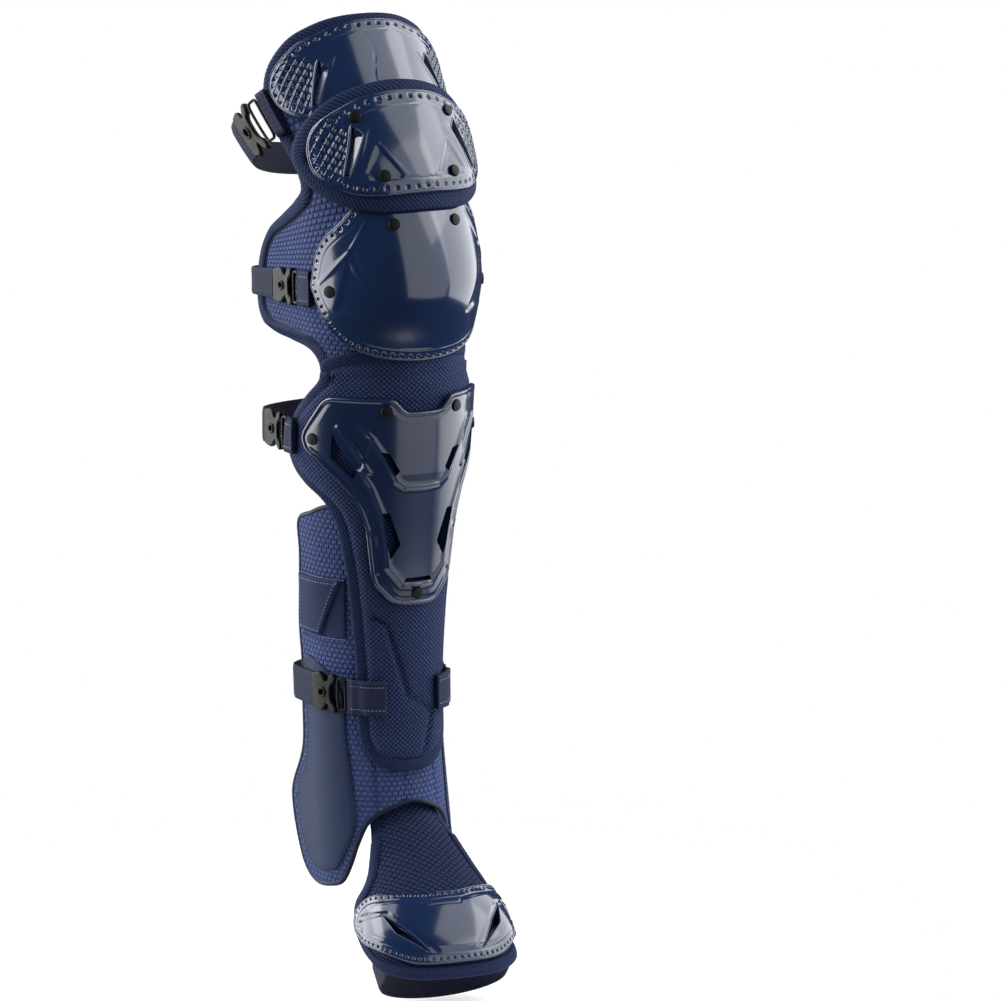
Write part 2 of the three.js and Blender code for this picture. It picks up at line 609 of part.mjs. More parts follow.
// Straps: elastic webbing round the back. On each side a webbing loop on the pad holds a wire
// ring; on the outer side of the leg the strap ends in a hook on that ring, on the inner side it
// is sewn round it. Columns: name, level as a share of the height, degrees where the loops start,
// loop length, hook length, what the loops lie on, how far out rings and hook lie, how far out
// the strap lies, how far it runs straight back past the leg's sides, and how far it bows.
const STRAPS = [
  ['thigh', 0.7, 66.5, 7, 20, overBinding, overBinding, overBinding, 15, 40],
  ['knee', -0.05, 79, 14, 30, overLiner + SEWN, overLiner, overBinding, 74, 22],
  ['calf', -0.322, 84, 13, 26, overShinPad, overShin, overShin, 46, 20],
  ['ankle', -0.795, 20, 30, 24, overShinPad, overPatch, overPatch, 22, 20],
];

// The hook's outline. Columns: share of its length from the strap's end, share of its width.
const HOOK_EDGE = [
  [0, 0.43], [0.35, 0.5], [0.6, 0.28], [0.72, 0.4], [0.92, 0.5], [1, 0.38], [0.8, 0.2],
  [0.8, -0.2], [1, -0.38], [0.92, -0.5], [0.72, -0.4], [0.6, -0.28], [0.35, -0.5], [0, -0.43],
];

// A place on a circle moved out to a square with round corners
function squared(x, y) {
  const turn = Math.atan2(y, x);
  const grow = (Math.cos(turn) ** 6 + Math.sin(turn) ** 6) ** (-1 / 6);
  return [x * grow, y * grow];
}

for (const [name, share, from, loop, hook, under, seat, out, straight, closing] of STRAPS) {
  const level = height(share);
  const start = from * MM_PER_DEGREE;
  const ringStart = start + loop + PLAY;
  const ringEnd = ringStart + RING_REACH;
  const hookEnd = ringEnd + PLAY + hook;
  const top = typeof under === 'function' ? (u, at) => under(u, at) + HOOK : under + HOOK;
  for (const [side, sign] of [['outer', -1], ['inner', 1]]) {
    const low = level - WEBBING_WIDTH / 2;
    add(`${name}_loop_${side}`, wrapped({
      ring: rectangle(sign * start, sign * (start + loop), low, low + WEBBING_WIDTH),
      inner: under,
      outer: top,
      cellAngle: CELL_ANGLE / 3,
    }), WEB);
    const wire = new THREE.TorusGeometry((WEBBING_WIDTH - WIRE) / 2, WIRE / 2, 4, 12);
    const places = wire.attributes.position;
    for (let i = 0; i < places.count; i += 1) {
      const [across, up] = squared(places.getX(i), places.getY(i));
      const u = sign * (ringStart + ringEnd) / 2 + across * RING_REACH / WEBBING_WIDTH;
      const point = onLeg(u, level + up, seat + HOOK / 2 + places.getZ(i));
      places.setXYZ(i, point.x, point.y, point.z);
    }
    add(`${name}_ring_${side}`, toGeometry(toSolid(wire)), BLACK_METAL);
  }
  const onHook = ([along, across]) => (
    new THREE.Vector2(-(hookEnd - along * hook), level + across * HOOK_WIDTH)
  );
  add(`${name}_hook`, wrapped({
    ring: HOOK_EDGE.map(onHook),
    holes: [circle(onHook([0.5, 0]), EYELET / 2, 6)],
    inner: seat,
    outer: seat + HOOK,
  }), BLACK_METAL);
  add(`${name}_strap`, strip({
    section: (up) => sectionAt(LEG_SECTIONS, level + up),
    out: out + WEBBING / 2,
    width: WEBBING_WIDTH,
    thickness: WEBBING,
    straight,
    closing,
    ends: [(hookEnd + 2 * PLAY) / MM_PER_DEGREE, (ringEnd + PLAY) / MM_PER_DEGREE],
  }), WEB);
}

// Elastic loop under the shoe's sole, sewn at both ends inside the toe flap's binding
const TOE_ELASTIC_AT = 0.8;
add('toe_elastic', strip({
  section: (up) => sectionAt(FOOT_SECTIONS, TOE_ELASTIC_AT * FOOT_LENGTH - up),
  out: -BINDING_LIP / 2 - CLEARANCE - WEBBING / 2, width: ELASTIC_WIDTH, thickness: WEBBING,
  straight: 14, closing: 22, ends: [66, 66], steps: 16,
}), WEB);

// Rivets with low domed heads. Columns: name, degrees from the front, share of the height, and
// the face that they sit on.
const flapShellTop = (u, at) => flapTop(u, at) + SHELL;
const RIVETS = [
  ['flap_upper', 26.5, 0.548, flapShellTop],
  ['flap_lower', 21, 0.316, flapShellTop],
  ['knee_upper', 20, 0.128, kneeOuter],
  ['knee_side', 61, -0.05, kneeOuter],
  ['plate_upper', 22.5, -0.26, plateOuter],
  ['plate_side', 67, -0.318, plateOuter],
  ['plate_foot', 0, -0.6, plateOuter],
];
const rivetProfile = [
  [0, 0], [0.5, 0], [0.38, 1], [0, 1],
].map(([across, up]) => new THREE.Vector2(across * RIVET, up * RIVET_HEIGHT));

for (const [name, angle, share, face] of RIVETS) {
  for (const sign of angle > 0 ? [-1, 1] : [1]) {
    const at = height(share);
    const u = sign * angle * MM_PER_DEGREE;
    const seat = onLeg(u, at, face(u, at) + SEWN);
    const normal = onLeg(u, at, face(u, at) + SEWN + 1).sub(seat).normalize();
    const head = new THREE.LatheGeometry(rivetProfile, 8);
    const side = { '-1': '_outer', 1: '_inner' }[sign];
    const rivet = add(`rivet_${name}${angle > 0 ? side : ''}`, head, BLACK_METAL);
    rivet.position.copy(seat);
    rivet.quaternion.setFromUnitVectors(new THREE.Vector3(0, 1, 0), normal);
  }
}

export default group;
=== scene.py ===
# A catcher's leg guard for the right leg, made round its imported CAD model, in the order that the
# guard is put together: wrap, pads and bindings, shells, toe flap, straps and fittings.
import math

import bpy
import numpy as np
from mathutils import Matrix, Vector


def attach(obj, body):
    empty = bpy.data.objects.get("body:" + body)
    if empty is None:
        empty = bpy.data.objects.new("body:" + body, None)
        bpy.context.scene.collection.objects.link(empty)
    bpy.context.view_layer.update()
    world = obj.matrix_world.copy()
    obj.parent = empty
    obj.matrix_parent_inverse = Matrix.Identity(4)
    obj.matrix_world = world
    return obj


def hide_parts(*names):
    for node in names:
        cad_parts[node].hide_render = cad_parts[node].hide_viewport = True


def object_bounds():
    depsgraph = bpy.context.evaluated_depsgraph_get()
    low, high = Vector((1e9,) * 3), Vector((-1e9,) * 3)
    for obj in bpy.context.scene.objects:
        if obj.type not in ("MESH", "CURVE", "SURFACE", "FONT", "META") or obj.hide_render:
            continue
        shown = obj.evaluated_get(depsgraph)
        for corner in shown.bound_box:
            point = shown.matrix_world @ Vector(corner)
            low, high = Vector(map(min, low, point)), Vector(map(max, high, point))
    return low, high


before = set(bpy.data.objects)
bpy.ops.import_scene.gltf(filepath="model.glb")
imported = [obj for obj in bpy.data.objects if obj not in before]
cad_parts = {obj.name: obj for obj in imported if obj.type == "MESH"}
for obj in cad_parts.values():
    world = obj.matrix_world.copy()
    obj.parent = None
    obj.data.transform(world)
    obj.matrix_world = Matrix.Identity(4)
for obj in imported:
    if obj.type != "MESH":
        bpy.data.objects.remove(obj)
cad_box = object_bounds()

# The leg and the shoe
# The pads are drawn flat, in millimetres round the leg and up it, and are then wrapped round
# the leg's room. Its sections are those of the CAD model, so that every piece lies on its solid.
SHIN, THIGH, FOOT = 400, 125, 160
LEG_WIDTH, LEG_DEPTH, FOOT_WIDTH = 116, 60, 100
KNEE_BEND, FOOT_DROP, TOE_TURN = 36, 48, -9
MM_PER_DEGREE = math.pi * LEG_WIDTH / 360
LEG_TABLE = [
    (-1.25, -0.19, 0, 0.405, 0.85), (-1.075, -0.09, 0, 0.41, 0.85),
    (-0.825, 0, 0, 0.388, 0.817), (-0.6, 0, 0, 0.414, 0.833),
    (-0.325, -0.034, 0, 0.474, 0.95), (-0.1875, -0.078, 0, 0.483, 0.967),
    (-0.0375, -0.155, 0.11, 0.5, 1), (0.36, -0.017, 0.61, 0.5, 0.967),
    (0.8, 0.431, 1, 0.603, 1.167), (1.28, 0.81, 1.056, 0.629, 1.217),
]
FOOT_TABLE = [
    (-0.22, 0, 0.278, -0.22, 0, 0.409, 0.445, 0), (0, 0.01, 0.262, 0, 0.5, 0.4, 0.43, 0.3),
    (0.19, 0, 0.4, 0.115, 1, 0.43, 0.42, 1), (0.6, -0.045, 0.7, 0.385, 1, 0.49, 0.24, 1),
    (1, -0.09, 0.995, 0.66, 0.94, 0.5, 0.2, 1),
]


def height(share):
    """Millimetres above the kneecap's middle, from a share of the thigh's or the shin's length."""
    return share * (THIGH if share > 0 else SHIN)


def leg_rows():
    """Level, centre x y z, lean, half width, depth and turn of each section of the leg."""
    return [
        (height(at), 0, back * LEG_WIDTH, height(at), lean * KNEE_BEND, half * LEG_WIDTH,
         depth * LEG_DEPTH, 0)
        for at, back, lean, half, depth in LEG_TABLE
    ]


def foot_rows():
    """The same for the shoe, with the distance from the ankle's bend in place of a level."""
    rows = []
    for along, side, ahead, down, lean, half, depth, turn in FOOT_TABLE:
        tilt, swing = math.radians(lean * FOOT_DROP), math.radians(turn * TOE_TURN)
        deep = depth * FOOT_WIDTH
        rows.append((
            along * FOOT, side * FOOT - deep * math.cos(tilt) * math.sin(swing),
            -ahead * FOOT + deep * math.cos(tilt) * math.cos(swing),
            -SHIN - down * FOOT - deep * math.sin(tilt), lean * FOOT_DROP, half * FOOT_WIDTH,
            deep, turn * TOE_TURN,
        ))
    return rows


def smooth_table(rows):
    """The rows at every millimetre, on the same smooth curves as the CAD model's."""
    rows = np.array(rows, float)
    at = rows[:, 0]
    slope = np.diff(rows, axis=0) / np.diff(at)[:, None]
    tangent = np.vstack([slope[:1], slope[:1].repeat(len(rows) - 2, 0), slope[-1:]])
    before, after = np.diff(at)[:-1, None], np.diff(at)[1:, None]
    tangent[1:-1] = (slope[:-1] * after + slope[1:] * before) / (before + after)
    levels = np.arange(at[0] - 30, at[-1] + 30, 1.0)
    i = np.clip(np.searchsorted(at, levels, side="right") - 1, 0, len(rows) - 2)
    span = (at[i + 1] - at[i])[:, None]
    t = ((levels - at[i]) / span[:, 0])[:, None]
    out = (rows[i] * (2 * t**3 - 3 * t**2 + 1) + tangent[i] * span * (t**3 - 2 * t**2 + t)
           + rows[i + 1] * (3 * t**2 - 2 * t**3) + tangent[i + 1] * span * (t**3 - t**2))
    return levels, out


LEG, SHOE = smooth_table(leg_rows()), smooth_table(foot_rows())


def section_at(table, level):
    """Centre, lean, half width, depth and turn of the leg's or the shoe's section at a level."""
    return [np.interp(level, table[0], table[1][:, k]) for k in range(1, 8)]


def on_section(section, angle, out):
    """Millimetres to the side and ahead, `out` from a section's front at an angle up to 90."""
    half, depth = section[4], section[5]
    bent = np.radians(angle)
    nx, nf = np.sin(bent) / half, np.cos(bent) / depth
    size = np.hypot(nx, nf)
    return half * np.sin(bent) + nx / size * out, depth * np.cos(bent) + nf / size * out


def stood_up(section, side, front):
    """Places in metres of points to the side and ahead in a section, which leans and turns."""
    cx, cy, cz, lean, _, _, turn = section
    lean, turn = np.radians(lean), np.radians(turn)
    x, y, z = side, -front * np.cos(lean), front * np.sin(lean)
    x, y = x * np.cos(turn) - y * np.sin(turn), x * np.sin(turn) + y * np.cos(turn)
    return np.stack([x + cx, y + cy, z + cz], -1) / 1000


def wrap_round(table, u, at, out):
    """Places in metres of flat points u round and at up, lying `out` from the surface."""
    u, at, out = np.broadcast_arrays(*(np.asarray(v, float) for v in (u, at, out)))
    section = section_at(table, at)
    angle = np.abs(u) / MM_PER_DEGREE
    side, front = on_section(section, np.minimum(angle, 90), out)
    straight = np.maximum(angle - 90, 0) * MM_PER_DEGREE
    return stood_up(section, np.sign(u) * side, front - straight)


def on_leg(u, at, out=0.0):
    return wrap_round(LEG, u, at, out)


def on_shoe(u, at, out=0.0):
    return wrap_round(SHOE, u, -np.asarray(at, float), out)


def flat(rows):
    """Flat points in millimetres from rows of degrees round the leg and shares of its height."""
    return np.array([(a * MM_PER_DEGREE, height(s)) for a, s in rows])


def flat_shoe(rows):
    return np.array([(a * MM_PER_DEGREE, -s * FOOT) for a, s in rows])


def both_halves(right):
    left = [(-x, y) for x, y in right if x > 0]
    return np.array(list(map(tuple, right)) + left[::-1])


def distances(points):
    """Distance along a path to each of its points."""
    return np.concatenate([[0], np.cumsum(np.linalg.norm(np.diff(points, axis=0), axis=1))])


def unit(rows):
    return rows / np.linalg.norm(rows, axis=1)[:, None]


def even_ring(points, step, smooth=True):
    """A closed outline in even steps, rounded through its points or straight between them."""
    points = np.asarray(points, float)
    if smooth:
        n = len(points)
        fine = []
        for i in range(n):
            p0, p1, p2, p3 = (points[(i + k) % n] for k in (-1, 0, 1, 2))
            t0 = 0.0
            t1 = t0 + max(np.linalg.norm(p1 - p0), 1e-6) ** 0.5
            t2 = t1 + max(np.linalg.norm(p2 - p1), 1e-6) ** 0.5
            t3 = t2 + max(np.linalg.norm(p3 - p2), 1e-6) ** 0.5
            t = np.linspace(t1, t2, 24, endpoint=False)[:, None]
            a1 = (t1 - t) / (t1 - t0) * p0 + (t - t0) / (t1 - t0) * p1
            a2 = (t2 - t) / (t2 - t1) * p1 + (t - t1) / (t2 - t1) * p2
            a3 = (t3 - t) / (t3 - t2) * p2 + (t - t2) / (t3 - t2) * p3
            b1 = (t2 - t) / (t2 - t0) * a1 + (t - t0) / (t2 - t0) * a2
            b2 = (t3 - t) / (t3 - t1) * a2 + (t - t1) / (t3 - t1) * a3
            fine.append((t2 - t) / (t2 - t1) * b1 + (t - t1) / (t2 - t1) * b2)
        points = np.vstack(fine)
    closed = np.vstack([points, points[:1]])
    along = distances(closed)
    count = max(int(round(along[-1] / step)), 8)
    where = np.arange(count) * along[-1] / count
    ring = np.stack([np.interp(where, along, closed[:, k]) for k in (0, 1)], -1)
    turned = np.sum(ring[:, 0] * np.roll(ring[:, 1], -1) - np.roll(ring[:, 0], -1) * ring[:, 1])
    return ring if turned > 0 else ring[::-1].copy()


def inwards(ring):
    """Unit directions into a ring that runs anticlockwise."""
    along = unit(np.roll(ring, -1, 0) - np.roll(ring, 1, 0))
    return np.stack([-along[:, 1], along[:, 0]], -1)


def evened(ring):
    """A closed row of places or directions, each moved towards its two neighbours."""
    return (np.roll(ring, 1, 0) + 2 * ring + np.roll(ring, -1, 0)) / 4


def eased_inwards(ring, reach):
    """The same directions, evened out over a reach, so that rings drawn far in don't cross."""
    aim = inwards(ring)
    step = np.linalg.norm(ring[1] - ring[0])
    for _ in range(int(2 * (reach / step) ** 2)):
        aim = evened(aim)
    return aim


def grid_faces(rows, across, round_rows=False, round_across=True, turned=False):
    """Faces between the points of a grid kept row after row, closed in either direction, and
    `turned` to look the other way."""
    r, i = np.meshgrid(
        np.arange(rows if round_rows else rows - 1),
        np.arange(across if round_across else across - 1), indexing="ij")
    a, b = r * across, (r + 1) % rows * across
    j = (i + 1) % across
    faces = np.stack([a + i, a + j, b + j, b + i], -1).reshape(-1, 4)
    return (faces[:, [0, 3, 2, 1]] if turned else faces).tolist()


def value_at(face, u, at):
    """A distance out at flat places, from a number or from a function of them."""
    return face(u, at) if callable(face) else np.full(np.shape(u), float(face))


def mesh_piece(name, points, faces, finish, uv=None, nodes=(), slot=None, smooth=True):
    """A piece of the guard from its points in metres, riding on the one body."""
    mesh = bpy.data.meshes.new(name)
    mesh.from_pydata([tuple(p) for p in points], [], [tuple(f) for f in faces])
    if uv is not None:
        layer = mesh.uv_layers.new(name="cloth")
        corner = np.empty(len(mesh.loops), int)
        mesh.loops.foreach_get("vertex_index", corner)
        layer.data.foreach_set("uv", np.asarray(uv, float)[corner].ravel())
    mesh.materials.append(finish)
    mesh.shade_smooth() if smooth else mesh.shade_flat()
    piece = bpy.data.objects.new(name, mesh)
    bpy.context.collection.objects.link(piece)
    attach(piece, "root")
    if nodes:
        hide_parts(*nodes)
    return piece


# What is left of a layer, in millimetres, where its rim would cut through it
THINNEST = 0.02


def layer(name, ring, centre, finish, under, over, rim=(), rings=30, place=on_leg, **facts):
    """A closed layer with an outline: `under` and `over` give its faces, distances out from the
    leg, and `rim` the drop of its outer face at distances in from the edge, in millimetres."""
    rim = list(rim) or [(0, 0)]
    aim = eased_inwards(ring, 0.6 * rim[-1][0])
    loops = [ring + aim * d for d, _ in rim]
    last = loops[-1]
    shares = np.linspace(1, 0, rings + 1)[1:-1]
    loops += [centre + (last - centre) * s for s in shares]
    drops = np.concatenate([[h for _, h in rim], np.zeros(len(shares))])
    flat_points = np.vstack([np.vstack(loops), [centre]])
    lift = np.append(np.repeat(drops, len(ring)), 0)
    u, at = flat_points.T
    low = value_at(under, u, at)
    high = np.maximum(value_at(over, u, at) - lift, low + THINNEST)
    points = np.vstack([place(u, at, high), place(u, at, low)])
    n, count, total = len(ring), len(loops), len(u)
    faces = grid_faces(count, n)
    faces += (np.array(grid_faces(count, n, turned=True)) + total).tolist()
    i = np.arange(n)
    j = (i + 1) % n
    a = (count - 1) * n
    faces += np.stack([a + i, a + j, np.full(n, total - 1)], -1).tolist()
    faces += np.stack([total + a + j, total + a + i, np.full(n, 2 * total - 1)], -1).tolist()
    faces += np.stack([total + i, total + j, j, i], -1).tolist()
    uv = np.vstack([flat_points, flat_points])
    return mesh_piece(name, points, faces, finish, uv=uv, **facts)


# Ankle wrap
# One padded cloth round the lower shin and the ankle bones: waffle knit outside, cut to a tongue
# over each ankle bone, quilted down its front and edged with a narrow rolled piping.
def colour(code):
    """An sRGB hex value as linear red, green, blue and full alpha."""
    parts = [int(code[i:i + 2], 16) / 255 for i in (0, 2, 4)]
    return tuple(c / 12.92 if c <= 0.04045 else ((c + 0.055) / 1.055) ** 2.4 for c in parts) + (1,)


def add(tree, kind, inputs=None, **settings):
    """A node with its settings, and its inputs set to values or linked to other nodes."""
    node = tree.nodes.new(kind)
    for key, value in settings.items():
        setattr(node, key, value)
    for key, value in (inputs or {}).items():
        if isinstance(value, bpy.types.Node):
            value = value.outputs[0]
        if isinstance(value, bpy.types.NodeSocket):
            tree.links.new(value, node.inputs[key])
        else:
            node.inputs[key].default_value = value
    return node


def surface(name, **sockets):
    """A new material, its tree and its shader, with constants on the shader's own sockets."""
    finish = bpy.data.materials.new(name)
    finish.use_nodes = True
    tree = finish.node_tree
    shader = tree.nodes["Principled BSDF"]
    for key, value in sockets.items():
        shader.inputs[key.replace("_", " ")].default_value = value
    return finish, tree, shader


def cloth_surface(name, roughness, sheen, shine, loft="8f9bd0"):
    """A surface for cloth: rough, with little shine and a pale loft where it turns away."""
    finish, tree, shader = surface(name, Roughness=roughness, Sheen_Weight=sheen,
                                   Sheen_Roughness=0.35, Specular_IOR_Level=shine)
    shader.inputs["Sheen Tint"].default_value = colour(loft)
    return finish, tree, shader


def noise(tree, scale, detail):
    """Noise through the piece's own space: `scale` is its coarse grains to a metre."""
    place = add(tree, "ShaderNodeTexCoord").outputs["Object"]
    return add(tree, "ShaderNodeTexNoise", {"Vector": place, "Scale": scale, "Detail": detail})


def ranged(tree, value, to, given=(0.0, 1.0)):
    """A value spread from the range given to another one."""
    return add(tree, "ShaderNodeMapRange", {
        "Value": value, "From Min": given[0], "From Max": given[1], "To Min": to[0],
        "To Max": to[1]})


def calc(tree, operation, *values):
    return add(tree, "ShaderNodeMath", dict(enumerate(values)), operation=operation)


def paint(tree, shader, base, shade):
    """Gives the shader its colour, made lighter and darker by a value."""
    tinted = add(tree, "ShaderNodeVectorMath", {0: base, "Scale": shade}, operation="SCALE")
    tree.links.new(tinted.outputs[0], shader.inputs["Base Color"])


def emboss(tree, shader, relief, strength, depth):
    """Gives the shader a relief, `depth` in metres."""
    bump = add(tree, "ShaderNodeBump", {
        "Height": relief, "Strength": strength, "Distance": depth})
    tree.links.new(bump.outputs[0], shader.inputs["Normal"])


def cells(tree, width, tall, gap, turn=0.0, offset=0.5, squash=1.0):
    """1 on the walls between cells of a size in millimetres and 0 in them, on the piece's cloth."""
    cloth = add(tree, "ShaderNodeUVMap", uv_map="cloth")
    turned = add(tree, "ShaderNodeMapping", {
        "Vector": cloth, "Rotation": (0, 0, turn), "Scale": (1, squash, 1)})
    return add(tree, "ShaderNodeTexBrick", {
        "Vector": turned, "Scale": 1.0, "Mortar Size": gap, "Mortar Smooth": 1.0,
        "Brick Width": width, "Row Height": tall, "Color1": (0, 0, 0, 1),
        "Color2": (0, 0, 0, 1), "Mortar": (1, 1, 1, 1),
    }, offset=offset)


def knit(name, raised, sunk, width, tall, gap, relief, turn=0.0, offset=0.5, squash=1.0):
    """Knitted cloth: soft cells with sunk walls painted in a darker colour as shade, broken thread
    colour and a loft at its edge.
    """
    finish, tree, shader = cloth_surface(name, 0.82, 0.05, 0.12, loft="9aa6d8")
    walls = cells(tree, width, tall, gap, turn, offset, squash)
    # Threads about 0.6 mm thick, drawn at 1 mm so that they show
    threads = noise(tree, 900.0, 2.0)
    drift = noise(tree, 22.0, 3.0)
    # The walls between the cells take the darker colour: painted shade in the knit's hollows
    cells_with_painted_shade = add(tree, "ShaderNodeMix", {
        "Factor": walls.outputs["Fac"], "A": colour(raised), "B": colour(sunk)}, data_type="RGBA")
    shade = ranged(tree, threads, (0.78, 1.25))
    broad = ranged(tree, drift, (0.88, 1.12), given=(0.3, 0.7))
    paint(tree, shader, cells_with_painted_shade.outputs["Result"], calc(tree, "MULTIPLY", shade, broad))
    fine = add(tree, "ShaderNodeBump", {"Height": threads, "Strength": 0.5, "Distance": 0.0003})
    deep = add(tree, "ShaderNodeBump", {
        "Height": walls.outputs["Fac"], "Strength": 1.0, "Distance": relief, "Normal": fine},
        invert=True)
    tree.links.new(deep.outputs[0], shader.inputs["Normal"])
    return finish


# Waffle knit of nylon: cells 5 by 3.7 mm, set like bricks, that puff up between their walls, which
# are painted darker as shade
waffle = knit("waffle_knit_nylon", "3c4971", "273256", 5.0, 3.7, 1.5, 0.0012)

UNDERLAP = 3.2
WRAP_EDGE = [
    (0, -0.46), (40, -0.452), (65, -0.45), (85, -0.468), (102, -0.487), (103, -0.545),
    (106, -0.622), (108, -0.688), (106, -0.752), (107, -0.837), (108, -0.907), (113, -0.94),
    (124, -0.985), (127, -1.01), (122, -1.087), (113, -1.137), (100, -1.155), (78, -1.15),
    (66, -1.14), (57, -1.11), (48, -1.065), (37, -1.024), (17, -1.0), (0, -0.99),
]
wrap_outline = both_halves(flat(WRAP_EDGE))
QUILT_LINES = (-30, -6, 27)
QUILT_FROM = height(-0.825)
WRAP_MIDDLE = height(-0.725)


def ramp(value, width):
    """0 up to zero and 1 from `width` on."""
    return np.clip(value / width, 0, 1)


def wrap_top(u, at):
    """The wrap's outer face, sunk along its quilted seams."""
    seams = sum(np.exp(-((u - a * MM_PER_DEGREE) / 1.3) ** 2) for a in QUILT_LINES)
    front = ramp(QUILT_FROM - at, 20)
    return UNDERLAP - 1.5 * np.minimum(seams, 1) * front


wrap_cloth = layer(
    "ankle_wrap_cloth", even_ring(wrap_outline, 2.6), np.array([0.0, WRAP_MIDDLE]), waffle,
    0.0, wrap_top, rim=[(0, 1.4), (0.5, 0.7), (1.2, 0.2), (2.2, 0), (5, 0)], rings=56,
    nodes=("ankle_wrap",), slot="knit")


def cord_round(name, path, radius, finish, sides, **facts):
    """A round cord closed along a path of rows: place round, place up and distance out."""
    u, at, out = np.asarray(path, float).T
    points = on_leg(u, at, out)
    outwards = unit(on_leg(u, at, out + 1) - points)
    along = unit(np.roll(points, -1, 0) - np.roll(points, 1, 0))
    aside = np.cross(along, outwards)
    turn = np.linspace(0, 2 * math.pi, sides, endpoint=False)
    ring = (aside[:, None] * np.cos(turn)[None, :, None]
            + outwards[:, None] * np.sin(turn)[None, :, None])
    verts = (points[:, None] + ring * radius / 1000).reshape(-1, 3)
    run = distances(points) * 1000
    uv = np.stack([np.repeat(run, sides), np.tile(turn * radius, len(points))], -1)
    faces = grid_faces(len(points), sides, round_rows=True, turned=True)
    return mesh_piece(name, verts, faces, finish, uv=uv, **facts)


def cloth_finish(name, base, roughness, sheen=0.09, grain=1400.0, depth=0.00012, spread=0.12,
                 shine=0.15):
    """Plain close-woven cloth: a fine grain in its colour and its relief."""
    finish, tree, shader = cloth_surface(name, roughness, sheen, shine)
    threads = noise(tree, grain, 3.0)
    drift = noise(tree, 30.0, 2.0)
    shade = ranged(tree, calc(tree, "ADD", threads, drift), (1 - spread, 1 + spread),
                   given=(0.7, 1.3))
    paint(tree, shader, colour(base)[:3], shade)
    emboss(tree, shader, threads, 0.6, depth)
    return finish


piping_cloth = cloth_finish("rolled_polyester_piping", "10182c", roughness=0.55)
edge = even_ring(wrap_outline, 2.6)
cord_round("ankle_wrap_piping", np.column_stack([edge, np.full(len(edge), 1.7)]), 2.0,
           piping_cloth, sides=12, slot="knit")


# Ankle patches, loop patches and closing tabs
# Smooth coated cloth over each ankle bone, and above it a fuzzy loop patch under the pointed
# tab that closes the wrap. All are sewn to the wrap, alike on both sides of the leg.
SEWN = 0.3
PATCH, TAB = 1.2, 2.2
ANKLE_PATCH = [
    (101, -0.74), (90, -0.74), (69, -0.758), (57, -0.787), (53, -0.88), (49, -0.972),
    (48, -1.02), (52, -1.058), (60, -1.09), (68, -1.117), (80, -1.126), (98, -1.128),
    (107, -1.115), (115, -1.075), (119, -1.01), (117, -0.985), (106, -0.945), (102, -0.907),
    (101, -0.837),
]
PATCH_STITCH_LEVELS = (-0.583, -0.694)
LOOP_PATCH = [(99, -0.58), (51, -0.58), (51, -0.693), (100, -0.7)]
CLOSING_TAB = [(100, -0.585), (54, -0.583), (74, -0.69), (101, -0.69)]

# Polyurethane-coated cloth: smooth, satin, with a very fine grain
coated = cloth_finish("coated_cloth", "14223e", roughness=0.68, sheen=0.009, grain=700.0,
                      depth=0.00006, spread=0.05, shine=0.18)
tab_cloth = cloth_finish("tab_polyester_cloth", "1b2540", roughness=0.8, sheen=0.024)
fuzz = cloth_finish("brushed_loop_pile", "1f2944", roughness=0.95, sheen=0.09, grain=1500.0,
                    depth=0.0006, spread=0.3)
thread = cloth_finish("polyester_thread", "7b86ac", roughness=0.5, sheen=0.03, depth=0.00003)


# Metres between a path's ends from which on it isn't closed
OPEN_PATH = 0.02


